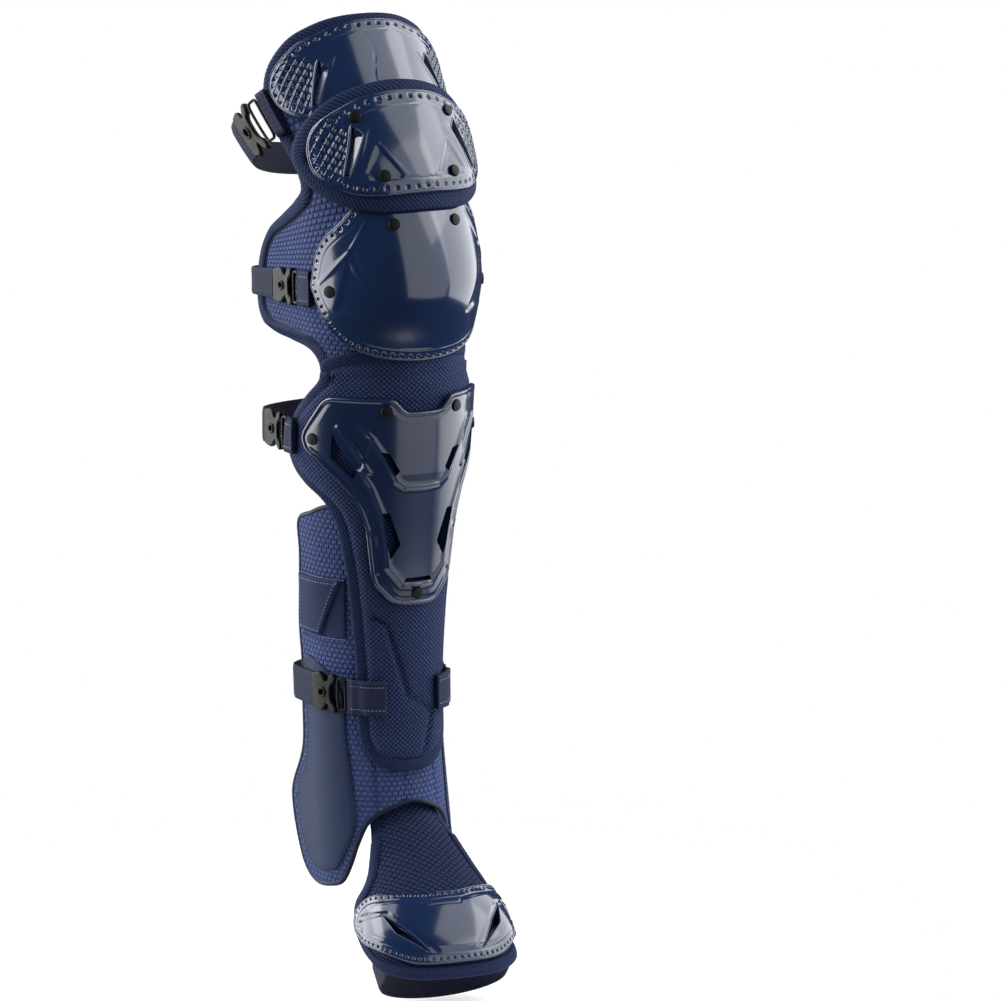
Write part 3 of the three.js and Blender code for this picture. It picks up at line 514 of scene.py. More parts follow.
def repeat_along(name, path, item, finish, sizes, place=on_leg, smooth=True,
                 nodes=()):
    """One small item at each row of a path, turned along it, by Geometry Nodes, as plain mesh."""
    u, at, out = np.asarray(path, float).T
    points = place(u, at, out)
    outwards = unit(place(u, at, out + 1) - points)
    if np.linalg.norm(points[0] - points[-1]) > OPEN_PATH:
        along = unit(np.gradient(points, axis=0))
    else:
        along = unit(np.roll(points, -1, 0) - np.roll(points, 1, 0))
    seeds = bpy.data.meshes.new(name + "_places")
    seeds.from_pydata([tuple(p) for p in points], [], [])
    for key, values in (("along", along), ("outwards", outwards)):
        seeds.attributes.new(key, "FLOAT_VECTOR", "POINT").data.foreach_set(
            "vector", np.ascontiguousarray(values, np.float32).ravel())
    holder = bpy.data.objects.new(name + "_places", seeds)
    bpy.context.collection.objects.link(holder)
    tree = bpy.data.node_groups.new(name, "GeometryNodeTree")
    tree.interface.new_socket("Geometry", in_out="INPUT", socket_type="NodeSocketGeometry")
    keys = ("Length", "Width", "Height")
    for key in keys:
        tree.interface.new_socket(key, in_out="INPUT", socket_type="NodeSocketFloat")
    tree.interface.new_socket("Geometry", in_out="OUTPUT", socket_type="NodeSocketGeometry")
    given = add(tree, "NodeGroupInput")
    shape = item(tree)
    size = add(tree, "ShaderNodeCombineXYZ", {
        "X": given.outputs["Length"], "Y": given.outputs["Width"], "Z": given.outputs["Height"]})
    turn = None
    for key, axis, pivot in (("outwards", "Z", "AUTO"), ("along", "X", "Z")):
        way = add(tree, "GeometryNodeInputNamedAttribute", {"Name": key}, data_type="FLOAT_VECTOR")
        inputs = {"Vector": way.outputs["Attribute"]}
        if turn:
            inputs["Rotation"] = turn
        turn = add(tree, "FunctionNodeAlignRotationToVector", inputs, axis=axis, pivot_axis=pivot)
    placed = add(tree, "GeometryNodeInstanceOnPoints", {
        "Points": given.outputs["Geometry"], "Instance": shape, "Rotation": turn, "Scale": size})
    real = add(tree, "GeometryNodeRealizeInstances", {"Geometry": placed})
    rounded = add(tree, "GeometryNodeSetShadeSmooth", {"Geometry": real, "Shade Smooth": smooth})
    dressed = add(tree, "GeometryNodeSetMaterial", {"Geometry": rounded, "Material": finish})
    add(tree, "NodeGroupOutput", {"Geometry": dressed})
    modifier = holder.modifiers.new(name, "NODES")
    modifier.node_group = tree
    names = {s.name: s.identifier for s in tree.interface.items_tree if s.in_out == "INPUT"}
    for key, value in zip(keys, sizes):
        modifier[names[key]] = value / 1000
    drawn = bpy.context.evaluated_depsgraph_get()
    mesh = bpy.data.meshes.new_from_object(holder.evaluated_get(drawn))
    mesh.name = name
    bpy.data.objects.remove(holder)
    piece = bpy.data.objects.new(name, mesh)
    bpy.context.collection.objects.link(piece)
    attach(piece, "root")
    if nodes:
        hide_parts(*nodes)
    return piece


def stitch(tree):
    """A thread's visible run: a sphere of 1 mm across, drawn out by the sizes given."""
    return add(tree, "GeometryNodeMeshUVSphere", {"Segments": 8, "Rings": 5, "Radius": 0.5})


def offset_path(ring, inset, pitch, out):
    """Places in even steps along an outline drawn in by `inset`, with their distance out."""
    inner = even_ring(ring + inwards(ring) * inset, pitch, smooth=False)
    return np.column_stack([inner, value_at(out, *inner.T)])


def on_side(rows, sign):
    return flat([(sign * a, s) for a, s in rows])


low = UNDERLAP + SEWN
tab_low = low + PATCH + 0.6
for side, sign in (("medial", 1), ("lateral", -1)):
    skin = even_ring(on_side(ANKLE_PATCH, sign), 2.4)
    layer(f"ankle_patch_skin_{side}", skin, skin.mean(0), coated, low, low + PATCH,
          rim=[(0, 1.1), (0.4, 0.4), (1, 0.1), (1.8, 0)], rings=24,
          nodes=(f"ankle_patch_{side}",), slot="patch_skin")
    repeat_along(f"ankle_patch_stitches_{side}", offset_path(skin, 3.2, 3.6, low + PATCH + 0.05),
                 stitch, piping_cloth, sizes=(2.6, 0.5, 0.4))
    pile = even_ring(on_side(LOOP_PATCH, sign), 2.4, smooth=False)
    layer(f"loop_pile_{side}", pile, pile.mean(0), fuzz, low, low + PATCH,
          rim=[(0, 0.8), (0.6, 0.2), (1.4, 0)], rings=14, nodes=(f"loop_patch_{side}",),
          slot="webbing")
    for k, share in enumerate(PATCH_STITCH_LEVELS):
        run = np.linspace(52, 99, 17) * sign * MM_PER_DEGREE
        path = np.column_stack([run, np.full(17, height(share)), np.full(17, low + PATCH + 0.2)])
        repeat_along(f"loop_pile_stitches_{side}_{k}", path, stitch, thread,
                     sizes=(2.4, 0.5, 0.4))
    leaf = even_ring(on_side(CLOSING_TAB, sign), 2.0, smooth=False)
    layer(f"wrap_tab_cloth_{side}", leaf, leaf.mean(0), tab_cloth, tab_low, tab_low + TAB,
          rim=[(0, 1.4), (0.4, 0.6), (1.0, 0.2), (1.8, 0)], rings=14,
          nodes=(f"wrap_tab_{side}",), slot="patch_skin")
    repeat_along(f"wrap_tab_stitches_{side}", offset_path(leaf, 3.0, 3.0, tab_low + TAB + 0.05),
                 stitch, thread, sizes=(1.9, 0.45, 0.35))


# Main liner
# Thigh pad, knee pad and the wings beside the knee, cut in one piece from foam with a waffle
# knit face, and bound all round with a folded twill tape.
THIGH_PADDING, KNEE_PADDING = 5.4, 8.0
BINDING, BINDING_LIP = 9.0, 0.8
LINER_EDGE = [
    (0, 0.992), (21, 0.992), (32, 0.984), (44, 0.968), (53, 0.936), (62, 0.888), (68, 0.832),
    (73, 0.76), (76, 0.62), (77, 0.45), (80, 0.37), (90, 0.336), (113, 0.3), (138, 0.248),
    (151, 0.15), (157, 0.04), (160, -0.03), (161, -0.088), (155, -0.122), (140, -0.147),
    (113, -0.155), (84, -0.165), (75, -0.184), (72, -0.215), (70, -0.24), (40, -0.25), (0, -0.25),
]
KNEE_EDGE = [
    (0, 0.31), (20, 0.3), (38, 0.25), (52, 0.17), (66, 0.1), (72, 0.03), (76, -0.03), (77, -0.04),
    (74, -0.062), (70, -0.082), (63, -0.11), (53, -0.136), (44, -0.151), (30, -0.164),
    (14, -0.171), (0, -0.173),
]
KNEE_MIDDLE = (height(KNEE_EDGE[0][1]) + height(KNEE_EDGE[-1][1])) / 2
KNEE_HALF = height(KNEE_EDGE[0][1]) - KNEE_MIDDLE
KNEE_ANGLE = max(a for a, _ in KNEE_EDGE)
HEM_TOP, HEM_RISE = height(-0.15), 6.0
LINER_MIDDLE = height(0.08)
liner_outline = both_halves(flat(LINER_EDGE))


def knee_share(u, at):
    """0 in the middle of the knee shell and 1 at its rim."""
    return (u / MM_PER_DEGREE / KNEE_ANGLE) ** 2 + ((at - KNEE_MIDDLE) / KNEE_HALF) ** 2


def liner_top(u, at):
    """The liner's face: flat at its hem, thick under the knee shell, a little puffed beside it."""
    under_shell = ramp(1.05 - knee_share(u, at), 0.3)
    body = THIGH_PADDING + (KNEE_PADDING - 0.3 - THIGH_PADDING) * under_shell
    hem = ramp(at - HEM_TOP, HEM_RISE)
    return UNDERLAP - 0.2 + (body - UNDERLAP + 0.2) * hem


def inner_ring(outline, inset, step, first_step=None):
    """An outline drawn in by `inset`, in even steps."""
    ring = even_ring(outline, first_step or step)
    return even_ring(ring + inwards(ring) * inset, step, smooth=False)


# How far a pad's own edge lies inside its outline, under the binding
PAD_INSET, PAD_STEP = 4.0, 2.6


def pad(name, outline, middle, finish, under, over, drop, rings, place=on_leg, **facts):
    """A foam pad under its binding: pinched where it is sewn, and full a little further in."""
    ring = inner_ring(outline, PAD_INSET, PAD_STEP)
    ease = [(0.0, 1.0), (4.2, 1.0), (5.2, 0.82), (6.6, 0.5), (8.4, 0.22), (10.5, 0.06), (13, 0)]
    return layer(name, ring, np.array([0.0, middle]), finish, under, over,
                 rim=[(d, h * drop) for d, h in ease], rings=rings, place=place, **facts)


liner = pad("main_liner_pad", liner_outline, LINER_MIDDLE, waffle, 0.0, liner_top, 1.5,
            nodes=("main_liner",), slot="knit", rings=74)


def ribbed_cloth(name, base, pitch):
    """Twill tape: its grooves, a pitch apart along the cloth's length, are painted darker than its
    ribs as shade, and its ribs lighter as a painted highlight.
    """
    finish, tree, shader = cloth_surface(name, 0.62, 0.04, 0.05)
    cloth = add(tree, "ShaderNodeUVMap", uv_map="cloth")
    apart = add(tree, "ShaderNodeSeparateXYZ", {"Vector": cloth})
    turns = calc(tree, "MULTIPLY", apart.outputs["X"], math.pi / pitch)
    wave = calc(tree, "ABSOLUTE", calc(tree, "SINE", turns))
    threads = noise(tree, 1500.0, 2.0)
    # The ribs' wave with the threads' grain: painted shade in the grooves and painted highlight on
    # the ribs
    grain = calc(tree, "MULTIPLY_ADD", threads, 0.5, wave)
    paint(tree, shader, colour(base)[:3], ranged(tree, grain, (0.25, 1.7), given=(0.35, 1.25)))
    emboss(tree, shader, threads, 0.5, 0.00015)
    return finish


# Folded twill tape of polyester: ribs 2.7 mm apart run slantwise across it
RIB_PITCH, RIB_HEIGHT, RIB_SLANT = 2.7, 0.75, 0.9
TAPE_STEP, TAPE_SIDES = 0.62, 22
# The tape's section is a circle squared off by this power
TAPE_ROUND = 2 / 2.7
twill = ribbed_cloth("twill_binding_tape", "19223c", RIB_PITCH)


def bound_edge(name, outline, width, under, over, place=on_leg, **facts):
    """A tape folded over a pad's edge, round in section, with its twill's slanting ribs."""
    ring = even_ring(outline, TAPE_STEP)
    aim = inwards(ring)
    along = np.arange(len(ring)) * TAPE_STEP
    ribs = max(round(along[-1] / RIB_PITCH), 1)
    turn = np.linspace(0, 2 * math.pi, TAPE_SIDES, endpoint=False)
    across = np.sign(np.cos(turn)) * np.abs(np.cos(turn)) ** TAPE_ROUND
    lift = np.sign(np.sin(turn)) * np.abs(np.sin(turn)) ** TAPE_ROUND
    spot = ring[:, None] + aim[:, None] * (width / 2 * (1 - across))[None, :, None]
    u, at = spot[..., 0], spot[..., 1]
    low, high = value_at(under, u, at), value_at(over, u, at)
    middle, half = (low + high) / 2, (high - low) / 2
    reach = width * (1 - across) / 2
    lead = np.where(lift > 0, 1, -1) * RIB_SLANT * reach / RIB_PITCH
    phase = along[:, None] / along[-1] * ribs + lead[None]
    ridge = RIB_HEIGHT * (np.abs(np.sin(math.pi * phase)) ** 0.7 - 0.75)
    fade = np.clip(1 - np.abs(across) ** 8, 0, 1)
    out = middle + half * lift[None] + ridge * fade[None] * np.sign(lift)[None]
    verts = place(u.ravel(), at.ravel(), out.ravel())
    uv = np.stack([(phase * RIB_PITCH).ravel(), np.tile(turn * width / math.pi, len(ring))], -1)
    faces = grid_faces(len(ring), TAPE_SIDES, round_rows=True, turned=True)
    return mesh_piece(name, verts, faces, twill, uv=uv, slot="twill", **facts)


def liner_edge_top(u, at):
    hem = ramp(at - HEM_TOP, HEM_RISE)
    return UNDERLAP - 0.3 + (THIGH_PADDING + BINDING_LIP + 1.0 - UNDERLAP) * hem


bound_edge("main_liner_binding", liner_outline, BINDING + 1.5, -0.6, liner_edge_top,
           nodes=("main_binding",))
piped = inner_ring(liner_outline, BINDING + 1.9, 2.4, first_step=2.6)
cord_round("main_liner_seam", np.column_stack([piped, liner_edge_top(*piped.T) - 2.2]), 0.7,
           piping_cloth, sides=8, slot="twill")


# Thigh shell
# A glossy injection-moulded cap stitched to the thigh pad through its rim. Each side has a
# field of diamond dimples and a three-cornered vent with a bevelled lip.
CLEARANCE, SHELL = 0.6, 3.0
LINER_TOP = THIGH_PADDING + BINDING_LIP + CLEARANCE
THIGH_SHELL_EDGE = [
    (0, 0.95), (18, 0.944), (29, 0.928), (39, 0.92), (50, 0.888), (59, 0.85), (63, 0.81),
    (64.6, 0.776), (64, 0.71), (60, 0.655), (53, 0.61), (40, 0.56), (20, 0.52), (0, 0.51),
]
THIGH_VENT = [(33, 0.808), (29, 0.76), (43, 0.64), (45, 0.65)]
THIGH_MIDDLE = height(0.736)
THIGH_CREASE = [(-6, 0.9), (-2.5, 0.82), (-3, 0.78), (-7, 0.7), (-7, 0.62)]
THIGH_FOLD = [(25, 0.8), (40, 0.63)]


def moulded(name, base, roughness, coat, bend=1.52):
    """Moulded plastic: even colour, a skin that blurs reflections a little, faint flow marks."""
    finish, tree, shader = surface(
        name, Roughness=roughness, Coat_Weight=coat, Coat_Roughness=0.05, IOR=bend)
    flow = ranged(tree, noise(tree, 16.0, 2.0), (0.92, 1.08), given=(0.3, 0.7))
    paint(tree, shader, colour(base)[:3], flow)
    blur = ranged(tree, noise(tree, 220.0, 1.0), (roughness * 0.85, roughness * 1.15))
    tree.links.new(blur.outputs[0], shader.inputs["Roughness"])
    return finish


# Polycarbonate shells, polished mould: deep navy, mirror-like with soft edges
glossy = moulded("polished_navy_shell", "122444", 0.15, 0.3)


def line_distance(u, at, line):
    """Distance in millimetres from flat places to a line of flat points."""
    best = np.full(np.shape(u), 1e9)
    for (ax, ay), (bx, by) in zip(line[:-1], line[1:]):
        dx, dy = bx - ax, by - ay
        t = np.clip(((u - ax) * dx + (at - ay) * dy) / max(dx * dx + dy * dy, 1e-9), 0, 1)
        best = np.minimum(best, np.hypot(u - ax - t * dx, at - ay - t * dy))
    return best


def near_line(u, at, rows, width, place=flat):
    """1 on a line of flat rows, falling smoothly to 0 a `width` away from it."""
    return np.exp(-((line_distance(u, at, place(rows)) / width) ** 2))


def within(u, at, ring):
    """How far inside a flat outline a point lies, in millimetres, negative outside."""
    u, at = np.asarray(u, float), np.asarray(at, float)
    closed = np.vstack([ring, ring[:1]])
    crossings = np.zeros(u.shape, int)
    for (ax, ay), (bx, by) in zip(closed[:-1], closed[1:]):
        if ay != by:
            crossings += ((ay > at) != (by > at)) & (u < (bx - ax) * (at - ay) / (by - ay) + ax)
    best = line_distance(u, at, closed)
    return np.where(crossings % 2 == 1, best, -best)


# Moulded rim: a thin bead at the edge, the channel for the sewing inside it, then the face
SHELL_RIM = [
    (0, 2.4), (0.15, 1.3), (0.5, 0.5), (0.9, 0.15), (1.3, 0.2), (1.7, 0.9), (2.2, 2.0),
    (3.6, 2.0), (5.2, 2.0), (5.9, 1.2), (6.7, 0.25), (7.4, 0.02), (9.0, 0.0),
]


def cut_through(piece, holes, place, low, high):
    """Cuts straight-sided holes through a shell, and keeps its smooth faces smooth."""
    for k, hole in enumerate(holes):
        ring = even_ring(hole, 1.2, smooth=False)
        n = len(ring)
        levels = np.linspace(low, high, 5)
        points = np.vstack([place(ring[:, 0], ring[:, 1], h) for h in levels])
        last = (len(levels) - 1) * n
        faces = [tuple(reversed(range(n))), tuple(range(last, last + n))]
        faces += grid_faces(len(levels), n)
        mesh = bpy.data.meshes.new("cutter")
        mesh.from_pydata([tuple(p) for p in points], [], faces)
        cutter = bpy.data.objects.new(f"cutter_{k}", mesh)
        bpy.context.collection.objects.link(cutter)
        modifier = piece.modifiers.new("cut", "BOOLEAN")
        modifier.operation, modifier.solver, modifier.object = "DIFFERENCE", "EXACT", cutter
        drawn = bpy.context.evaluated_depsgraph_get()
        piece.data = bpy.data.meshes.new_from_object(piece.evaluated_get(drawn))
        piece.modifiers.clear()
        bpy.data.objects.remove(cutter)
    piece.data.set_sharp_from_angle(angle=math.radians(38))


# How deep the chamfer runs down into a vent
VENT_DEPTH = 2.3


def vent_lip(name, hole, over, place=on_leg, wide=3.0, open_side=3):
    """A vent's moulded edge: a fine raised line round it, and a broad chamfer down into it on
    all sides but the one that starts at the corner `open_side`."""
    ring = even_ring(hole, 0.8, smooth=False)
    aim = eased_inwards(ring, 1.0)
    start, end = hole[open_side], hole[(open_side + 1) % len(hole)]
    way = (end - start) / np.linalg.norm(end - start)
    off = np.abs((ring[:, 0] - start[0]) * way[1] - (ring[:, 1] - start[1]) * way[0])
    share = 0.12 + 0.88 * ramp(off - 0.6, 2.5)
    profile = [(-1.3, -0.4, 0), (-0.9, 0.1, 0), (-0.5, 0.4, 0), (-0.15, 0.4, 0), (0.1, 0.15, 0),
               (0.15, -0.2, wide), (0.25, -VENT_DEPTH, wide), (0.3, -VENT_DEPTH - 0.6, wide)]
    sloped = [0, 0, 0, 0, 0, 0.06, 1, 1]
    loops = [ring + aim * (d + w * k * share[:, None]) for (d, _, w), k in zip(profile, sloped)]
    u, at = np.vstack(loops).T
    rise = np.repeat([h for _, h, _ in profile], len(ring))
    out = value_at(over, u, at) + rise
    points = np.vstack([place(u, at, out), place(u, at, out - 0.4)])
    n, total = len(ring), len(u)
    faces = grid_faces(len(profile), n)
    faces += [[total + v for v in reversed(face)] for face in faces]
    last = (len(profile) - 1) * n
    for i in range(n):
        j = (i + 1) % n
        faces.append((j, i, total + i, total + j))
        faces.append((last + i, last + j, total + last + j, total + last + i))
    piece = mesh_piece(name, points, faces, glossy, uv=np.vstack([np.column_stack([u, at])] * 2),
                       slot="glossy_shell")
    piece.data.set_sharp_from_angle(angle=math.radians(32))
    return piece


def eased(t):
    """A share from 0 to 1 with soft ends."""
    return t * t * (3 - 2 * t)


# Depth of the pits, the width and height of their cells, and the step of their mesh
DIMPLE_DEPTH, DIMPLE_WIDTH, DIMPLE_TALL, DIMPLE_STEP = 1.35, 6.2, 4.8, 0.4


def dimple_field(name, ring, over):
    """A patch of the shell moulded with rows of diamond-shaped pits."""
    low, high = ring.min(0), ring.max(0)
    u, at = np.meshgrid(*(np.arange(low[k], high[k] + DIMPLE_STEP, DIMPLE_STEP) for k in (0, 1)))
    p = u / DIMPLE_WIDTH + at / DIMPLE_TALL
    q = u / DIMPLE_WIDTH - at / DIMPLE_TALL
    wall = np.maximum(np.abs(p % 1 - 0.5), np.abs(q % 1 - 0.5))
    pit = eased(ramp(0.43 - wall, 0.27))
    inside = within(u, at, ring)
    base = value_at(over, u, at)
    out = base + 0.15 - DIMPLE_DEPTH * pit * ramp(inside, 1.6)
    out = np.where(inside > -0.6, out, base - 1.0)
    keep = inside > -1.4
    index = np.full(u.shape, -1)
    index[keep] = np.arange(keep.sum())
    faces = []
    for i in range(u.shape[0] - 1):
        a, b, c, d = index[i, :-1], index[i, 1:], index[i + 1, 1:], index[i + 1, :-1]
        good = (a >= 0) & (b >= 0) & (c >= 0) & (d >= 0)
        faces += np.stack([a, b, c, d], -1)[good].tolist()
    u, at, out = u[keep], at[keep], out[keep]
    return mesh_piece(name, on_leg(u, at, out), faces, glossy, uv=np.column_stack([u, at]),
                      slot="glossy_shell")


def two_sides(rows, place=flat):
    return [place(rows), place([(-a, s) for a, s in rows])]


THIGH_FIELD = [(48, 0.862), (57, 0.83), (61.5, 0.79), (62, 0.72), (59, 0.672), (53, 0.632),
               (47, 0.615), (45.5, 0.66), (40, 0.73), (36, 0.81), (41, 0.85)]
FIELD_SINK = 1.7
thigh_fields = two_sides(THIGH_FIELD)


def sink_fields(u, at, fields):
    """How far a shell lies lower under its dimple fields, whose own faces show there."""
    deepest = np.max([within(u, at, ring) for ring in fields], axis=0)
    return FIELD_SINK * ramp(deepest - 0.8, 0.8)


def thigh_top(u, at):
    raised = near_line(u, at, THIGH_FOLD, 0.9) + near_line(-u, at, THIGH_FOLD, 0.9)
    sunk = near_line(u, at, THIGH_CREASE, 1.0)
    return (LINER_TOP + SHELL + 0.6 * raised - 0.35 * sunk
            - sink_fields(u, at, thigh_fields))


thigh_ring = even_ring(both_halves(flat(THIGH_SHELL_EDGE)), 1.5)
thigh = layer("thigh_shell_cap", thigh_ring, np.array([0.0, THIGH_MIDDLE]), glossy,
              LINER_TOP, thigh_top,
              rim=SHELL_RIM, rings=62, nodes=("thigh_shell",), slot="glossy_shell")
cut_through(thigh, two_sides(THIGH_VENT), on_leg, LINER_TOP - 1, LINER_TOP + SHELL + 4)
plain_thigh = LINER_TOP + SHELL
for side, hole, field in zip(("medial", "lateral"), two_sides(THIGH_VENT), thigh_fields):
    vent_lip(f"thigh_vent_lip_{side}", hole, plain_thigh)
    dimple_field(f"thigh_dimples_{side}", even_ring(field, 1.5), plain_thigh)

# Sewing through the rim: a channel with deep notches, a dark bead of painted shade in each notch,
# and a shiny thread between each two
painted_notch_shade = moulded("notch_shadow", "050a18", 0.5, 0.0)
shiny_thread = moulded("waxed_thread", "55618c", 0.2, 0.3)


# Distance from notch to notch, their depth, and the step of the channel's mesh
NOTCH_PITCH, NOTCH_DEPTH, RIM_STEP = 5.8, 1.2, 0.6


def sewn_rim(name, ring, over, place=on_leg):
    """The notched sewing channel of a shell's rim, with a dark bead of painted shade in each notch
    and the threads that show in it.
    """
    fine = even_ring(ring, RIM_STEP)
    aim = inwards(fine)
    count = round(len(fine) * RIM_STEP / NOTCH_PITCH)
    phase = np.cos(np.arange(len(fine)) / len(fine) * count * 2 * math.pi)
    notch = ramp(phase - 0.45, 0.3)
    rows = [(1.25, -0.6, 0), (1.6, -0.35, 0), (2.1, -0.26, 0), (2.6, -0.22, 0.2), (2.85, -0.2, 1),
            (3.3, -0.18, 1), (3.8, -0.16, 1), (4.25, -0.14, 1), (4.5, -0.12, 0.2),
            (5.0, -0.08, 0), (6.2, 0.0, 0), (7.2, 0.05, 0), (7.8, -0.2, 0)]
    spots = np.stack([fine + aim * d for d, _, _ in rows])
    u, at = spots[..., 0].ravel(), spots[..., 1].ravel()
    base = value_at(over, u, at)
    out = base + np.concatenate([h - NOTCH_DEPTH * k * notch for _, h, k in rows])
    mesh_piece(f"{name}_sewn_channel", place(u, at, out), grid_faces(len(rows), len(fine)), glossy,
               uv=np.column_stack([u, at]), slot="glossy_shell")
    base = base.reshape(len(rows), len(fine))
    seats = np.arange(count) * len(fine) // count
    # A dark bead on each notch's floor: painted shade in the notch
    notch_floor = (base[5] - NOTCH_DEPTH + 0.1)[seats]
    repeat_along(f"{name}_notch_shade_beads", np.column_stack([spots[5][seats], notch_floor]), stitch,
                 painted_notch_shade, (1.6, 1.5, 0.5), place=place)
    between = (seats + len(fine) // count // 2) % len(fine)
    thread_at = (base[6] - 0.1)[between]
    repeat_along(f"{name}_threads", np.column_stack([spots[6][between], thread_at]), stitch,
                 shiny_thread, (1.0, 0.7, 0.5), place=place)


sewn_rim("thigh_shell", thigh_ring, plain_thigh)


# Knee shell
# A domed cap over the kneecap, moulded like the thigh shell, sewn along its rim and riveted to
# the pad. A fan-shaped facet and a fine ridge are moulded in each side.
KNEE_RISE = 8.0
KNEE_RIDGE = [(35, 0.16), (47, 0.032), (69, -0.0375)]
KNEE_FACET = [(48, -0.0025), (28, -0.085), (57, -0.0825)]
KNEE_BLADE = [(46, 0.03), (36, -0.045), (27, -0.088)]
KNEE_CENTRE = height(-0.0375)
KNEE_SILL = [(-15, -0.1525), (28, -0.155)]


def knee_bottom(u, at):
    return KNEE_PADDING + CLEARANCE + KNEE_RISE * np.clip(1 - knee_share(u, at), 0, None) ** 2


def knee_plain(u, at):
    return knee_bottom(u, at) + SHELL


def knee_top(u, at):
    top = knee_plain(u, at)
    for way in (1, -1):
        top = top + 0.55 * near_line(way * u, at, KNEE_RIDGE, 1.2)
        top = top - 0.5 * near_line(way * u, at, KNEE_BLADE, 1.6)
        inside = within(way * u, at, flat(KNEE_FACET))
        top = top - 0.9 * ramp(inside + 1, 3)
    return top - 0.5 * near_line(u, at, KNEE_SILL, 1.0)


knee_ring = even_ring(both_halves(flat(KNEE_EDGE)), 1.5)
layer("knee_shell_cap", knee_ring, np.array([0.0, KNEE_CENTRE]), glossy, knee_bottom, knee_top,
      rim=SHELL_RIM, rings=88, nodes=("knee_shell",), slot="glossy_shell")
sewn_rim("knee_shell", knee_ring, knee_plain)


# Flap above the knee
# A padded leaf with its own binding, which hangs over the joint between thigh and knee, and
# carries a shell like the thigh's. The middle of the shell is left bare.
FLAP_PADDING = 6.0
FLAP_EDGE = [
    (0, 0.669), (22, 0.66), (32, 0.648), (43, 0.624), (53, 0.592), (61, 0.552), (66, 0.516),
    (69, 0.46), (67, 0.384), (63, 0.328), (54, 0.264), (42, 0.216), (29, 0.184), (14, 0.176),
    (0, 0.176),
]
FLAP_SHELL_EDGE = [
    (0, 0.624), (20, 0.616), (30, 0.6), (39, 0.584), (48, 0.56), (53, 0.528), (57, 0.48),
    (58.5, 0.42), (57, 0.37), (54, 0.34), (45, 0.288), (36, 0.256), (23, 0.24), (0, 0.236),
]
FLAP_VENT = [(30, 0.52), (26, 0.48), (39.5, 0.336), (41.5, 0.345)]
FLAP_FIELD = [(38, 0.574), (47, 0.548), (52, 0.515), (55, 0.47), (56, 0.42), (54, 0.375),
              (49, 0.33), (44, 0.31), (42.5, 0.36), (36, 0.44), (33, 0.5), (34, 0.55)]
FLAP_CREASE = [(20, 0.44), (10, 0.312), (15, 0.26)]
FLAP_FOLD = [(23, 0.5), (36, 0.34)]
FLAP_MIDDLE, FLAP_SHELL_MIDDLE = height(0.416), height(0.432)
FLAP_CUT = (12.0, 26.0)
OVER_THIGH_SHELL = LINER_TOP + SHELL + CLEARANCE


def flap_bottom(u, at):
    share = ramp(at - height(0.3), height(0.5) - height(0.3))
    over_knee = knee_plain(u, at) + CLEARANCE
    return over_knee * (1 - share) + OVER_THIGH_SHELL * share


def flap_top(u, at):
    return np.maximum(flap_bottom(u, at) + FLAP_PADDING / 2, OVER_THIGH_SHELL + FLAP_PADDING)


def flap_plain(u, at):
    return flap_top(u, at) + BINDING_LIP + CLEARANCE + SHELL


flap_outline = both_halves(flat(FLAP_EDGE))
flap_fields = two_sides(FLAP_FIELD)
pad("flap_cushion", flap_outline, FLAP_MIDDLE, waffle, flap_bottom, flap_top, 1.4,
              nodes=("flap_pad",), slot="knit", rings=24)
bound_edge("flap_tape", flap_outline, BINDING + 1.0, flap_bottom,
           lambda u, at: flap_top(u, at) + BINDING_LIP + 0.6, nodes=("flap_binding",))


def flap_shell_top(u, at):
    top = flap_plain(u, at) - sink_fields(u, at, flap_fields)
    for way in (1, -1):
        facet = within(way * u, at, flat(FLAP_CREASE + [(25, 0.25), (30, 0.34)]))
        top = top - 0.8 * ramp(facet + 0.6, 1.8)
        top = top + 0.5 * near_line(way * u, at, FLAP_CREASE, 1.0)
        top = top + 0.4 * near_line(way * u, at, FLAP_FOLD, 0.9)
    return top


flap_ring = even_ring(both_halves(flat(FLAP_SHELL_EDGE)), 1.5)
flap = layer("flap_shell_cap", flap_ring, np.array([0.0, FLAP_SHELL_MIDDLE]), glossy,
             lambda u, at: flap_plain(u, at) - SHELL, flap_shell_top, rim=SHELL_RIM, rings=56,
             nodes=("flap_shell",), slot="glossy_shell")
cut_through(flap, two_sides(FLAP_VENT), on_leg, *FLAP_CUT)
for side, hole, field in zip(("medial", "lateral"), two_sides(FLAP_VENT), flap_fields):
    vent_lip(f"flap_vent_lip_{side}", hole, flap_plain)
    dimple_field(f"flap_dimples_{side}", even_ring(field, 1.5), flap_plain)
sewn_rim("flap_shell", flap_ring, flap_plain)


# Shin pad
# Foam under a fine mesh from below the knee to the ankle, thin where its twill tape folds over
# the edge. The band under the knee is left bare.
SHIN_PADDING, SHIN_SWELL = 8.0, 4.0
SHIN_EDGE = [
    (0, -0.15), (30, -0.152), (58, -0.165), (69, -0.182), (69, -0.21), (79, -0.241), (91, -0.274),
    (100, -0.305), (104, -0.345), (97, -0.38), (81, -0.41), (68, -0.43), (60, -0.452),
    (55, -0.48), (51, -0.53), (47.5, -0.585), (45, -0.65), (42, -0.745), (42, -0.81),
    (40.7, -0.87), (36, -0.9), (26, -0.922), (9, -0.935), (0, -0.935),
]
SHIN_LOW = UNDERLAP + CLEARANCE
SHIN_PAD_MIDDLE = height(-0.42)
SHIN_GROOVE = [(-28, -0.645), (-19, -0.66), (-3, -0.795), (18, -0.83), (9, -0.9)]
# Fine air mesh: cells 2.5 mm, turned 45 degrees, with the gaps between them painted dark as shade
fine_mesh = knit("fine_airmesh_polyester", "2c3960", "0f1830", 2.5, 2.5, 0.8, 0.0008,
                 turn=math.radians(45), offset=0.0)
shin_outline = both_halves(flat(SHIN_EDGE))


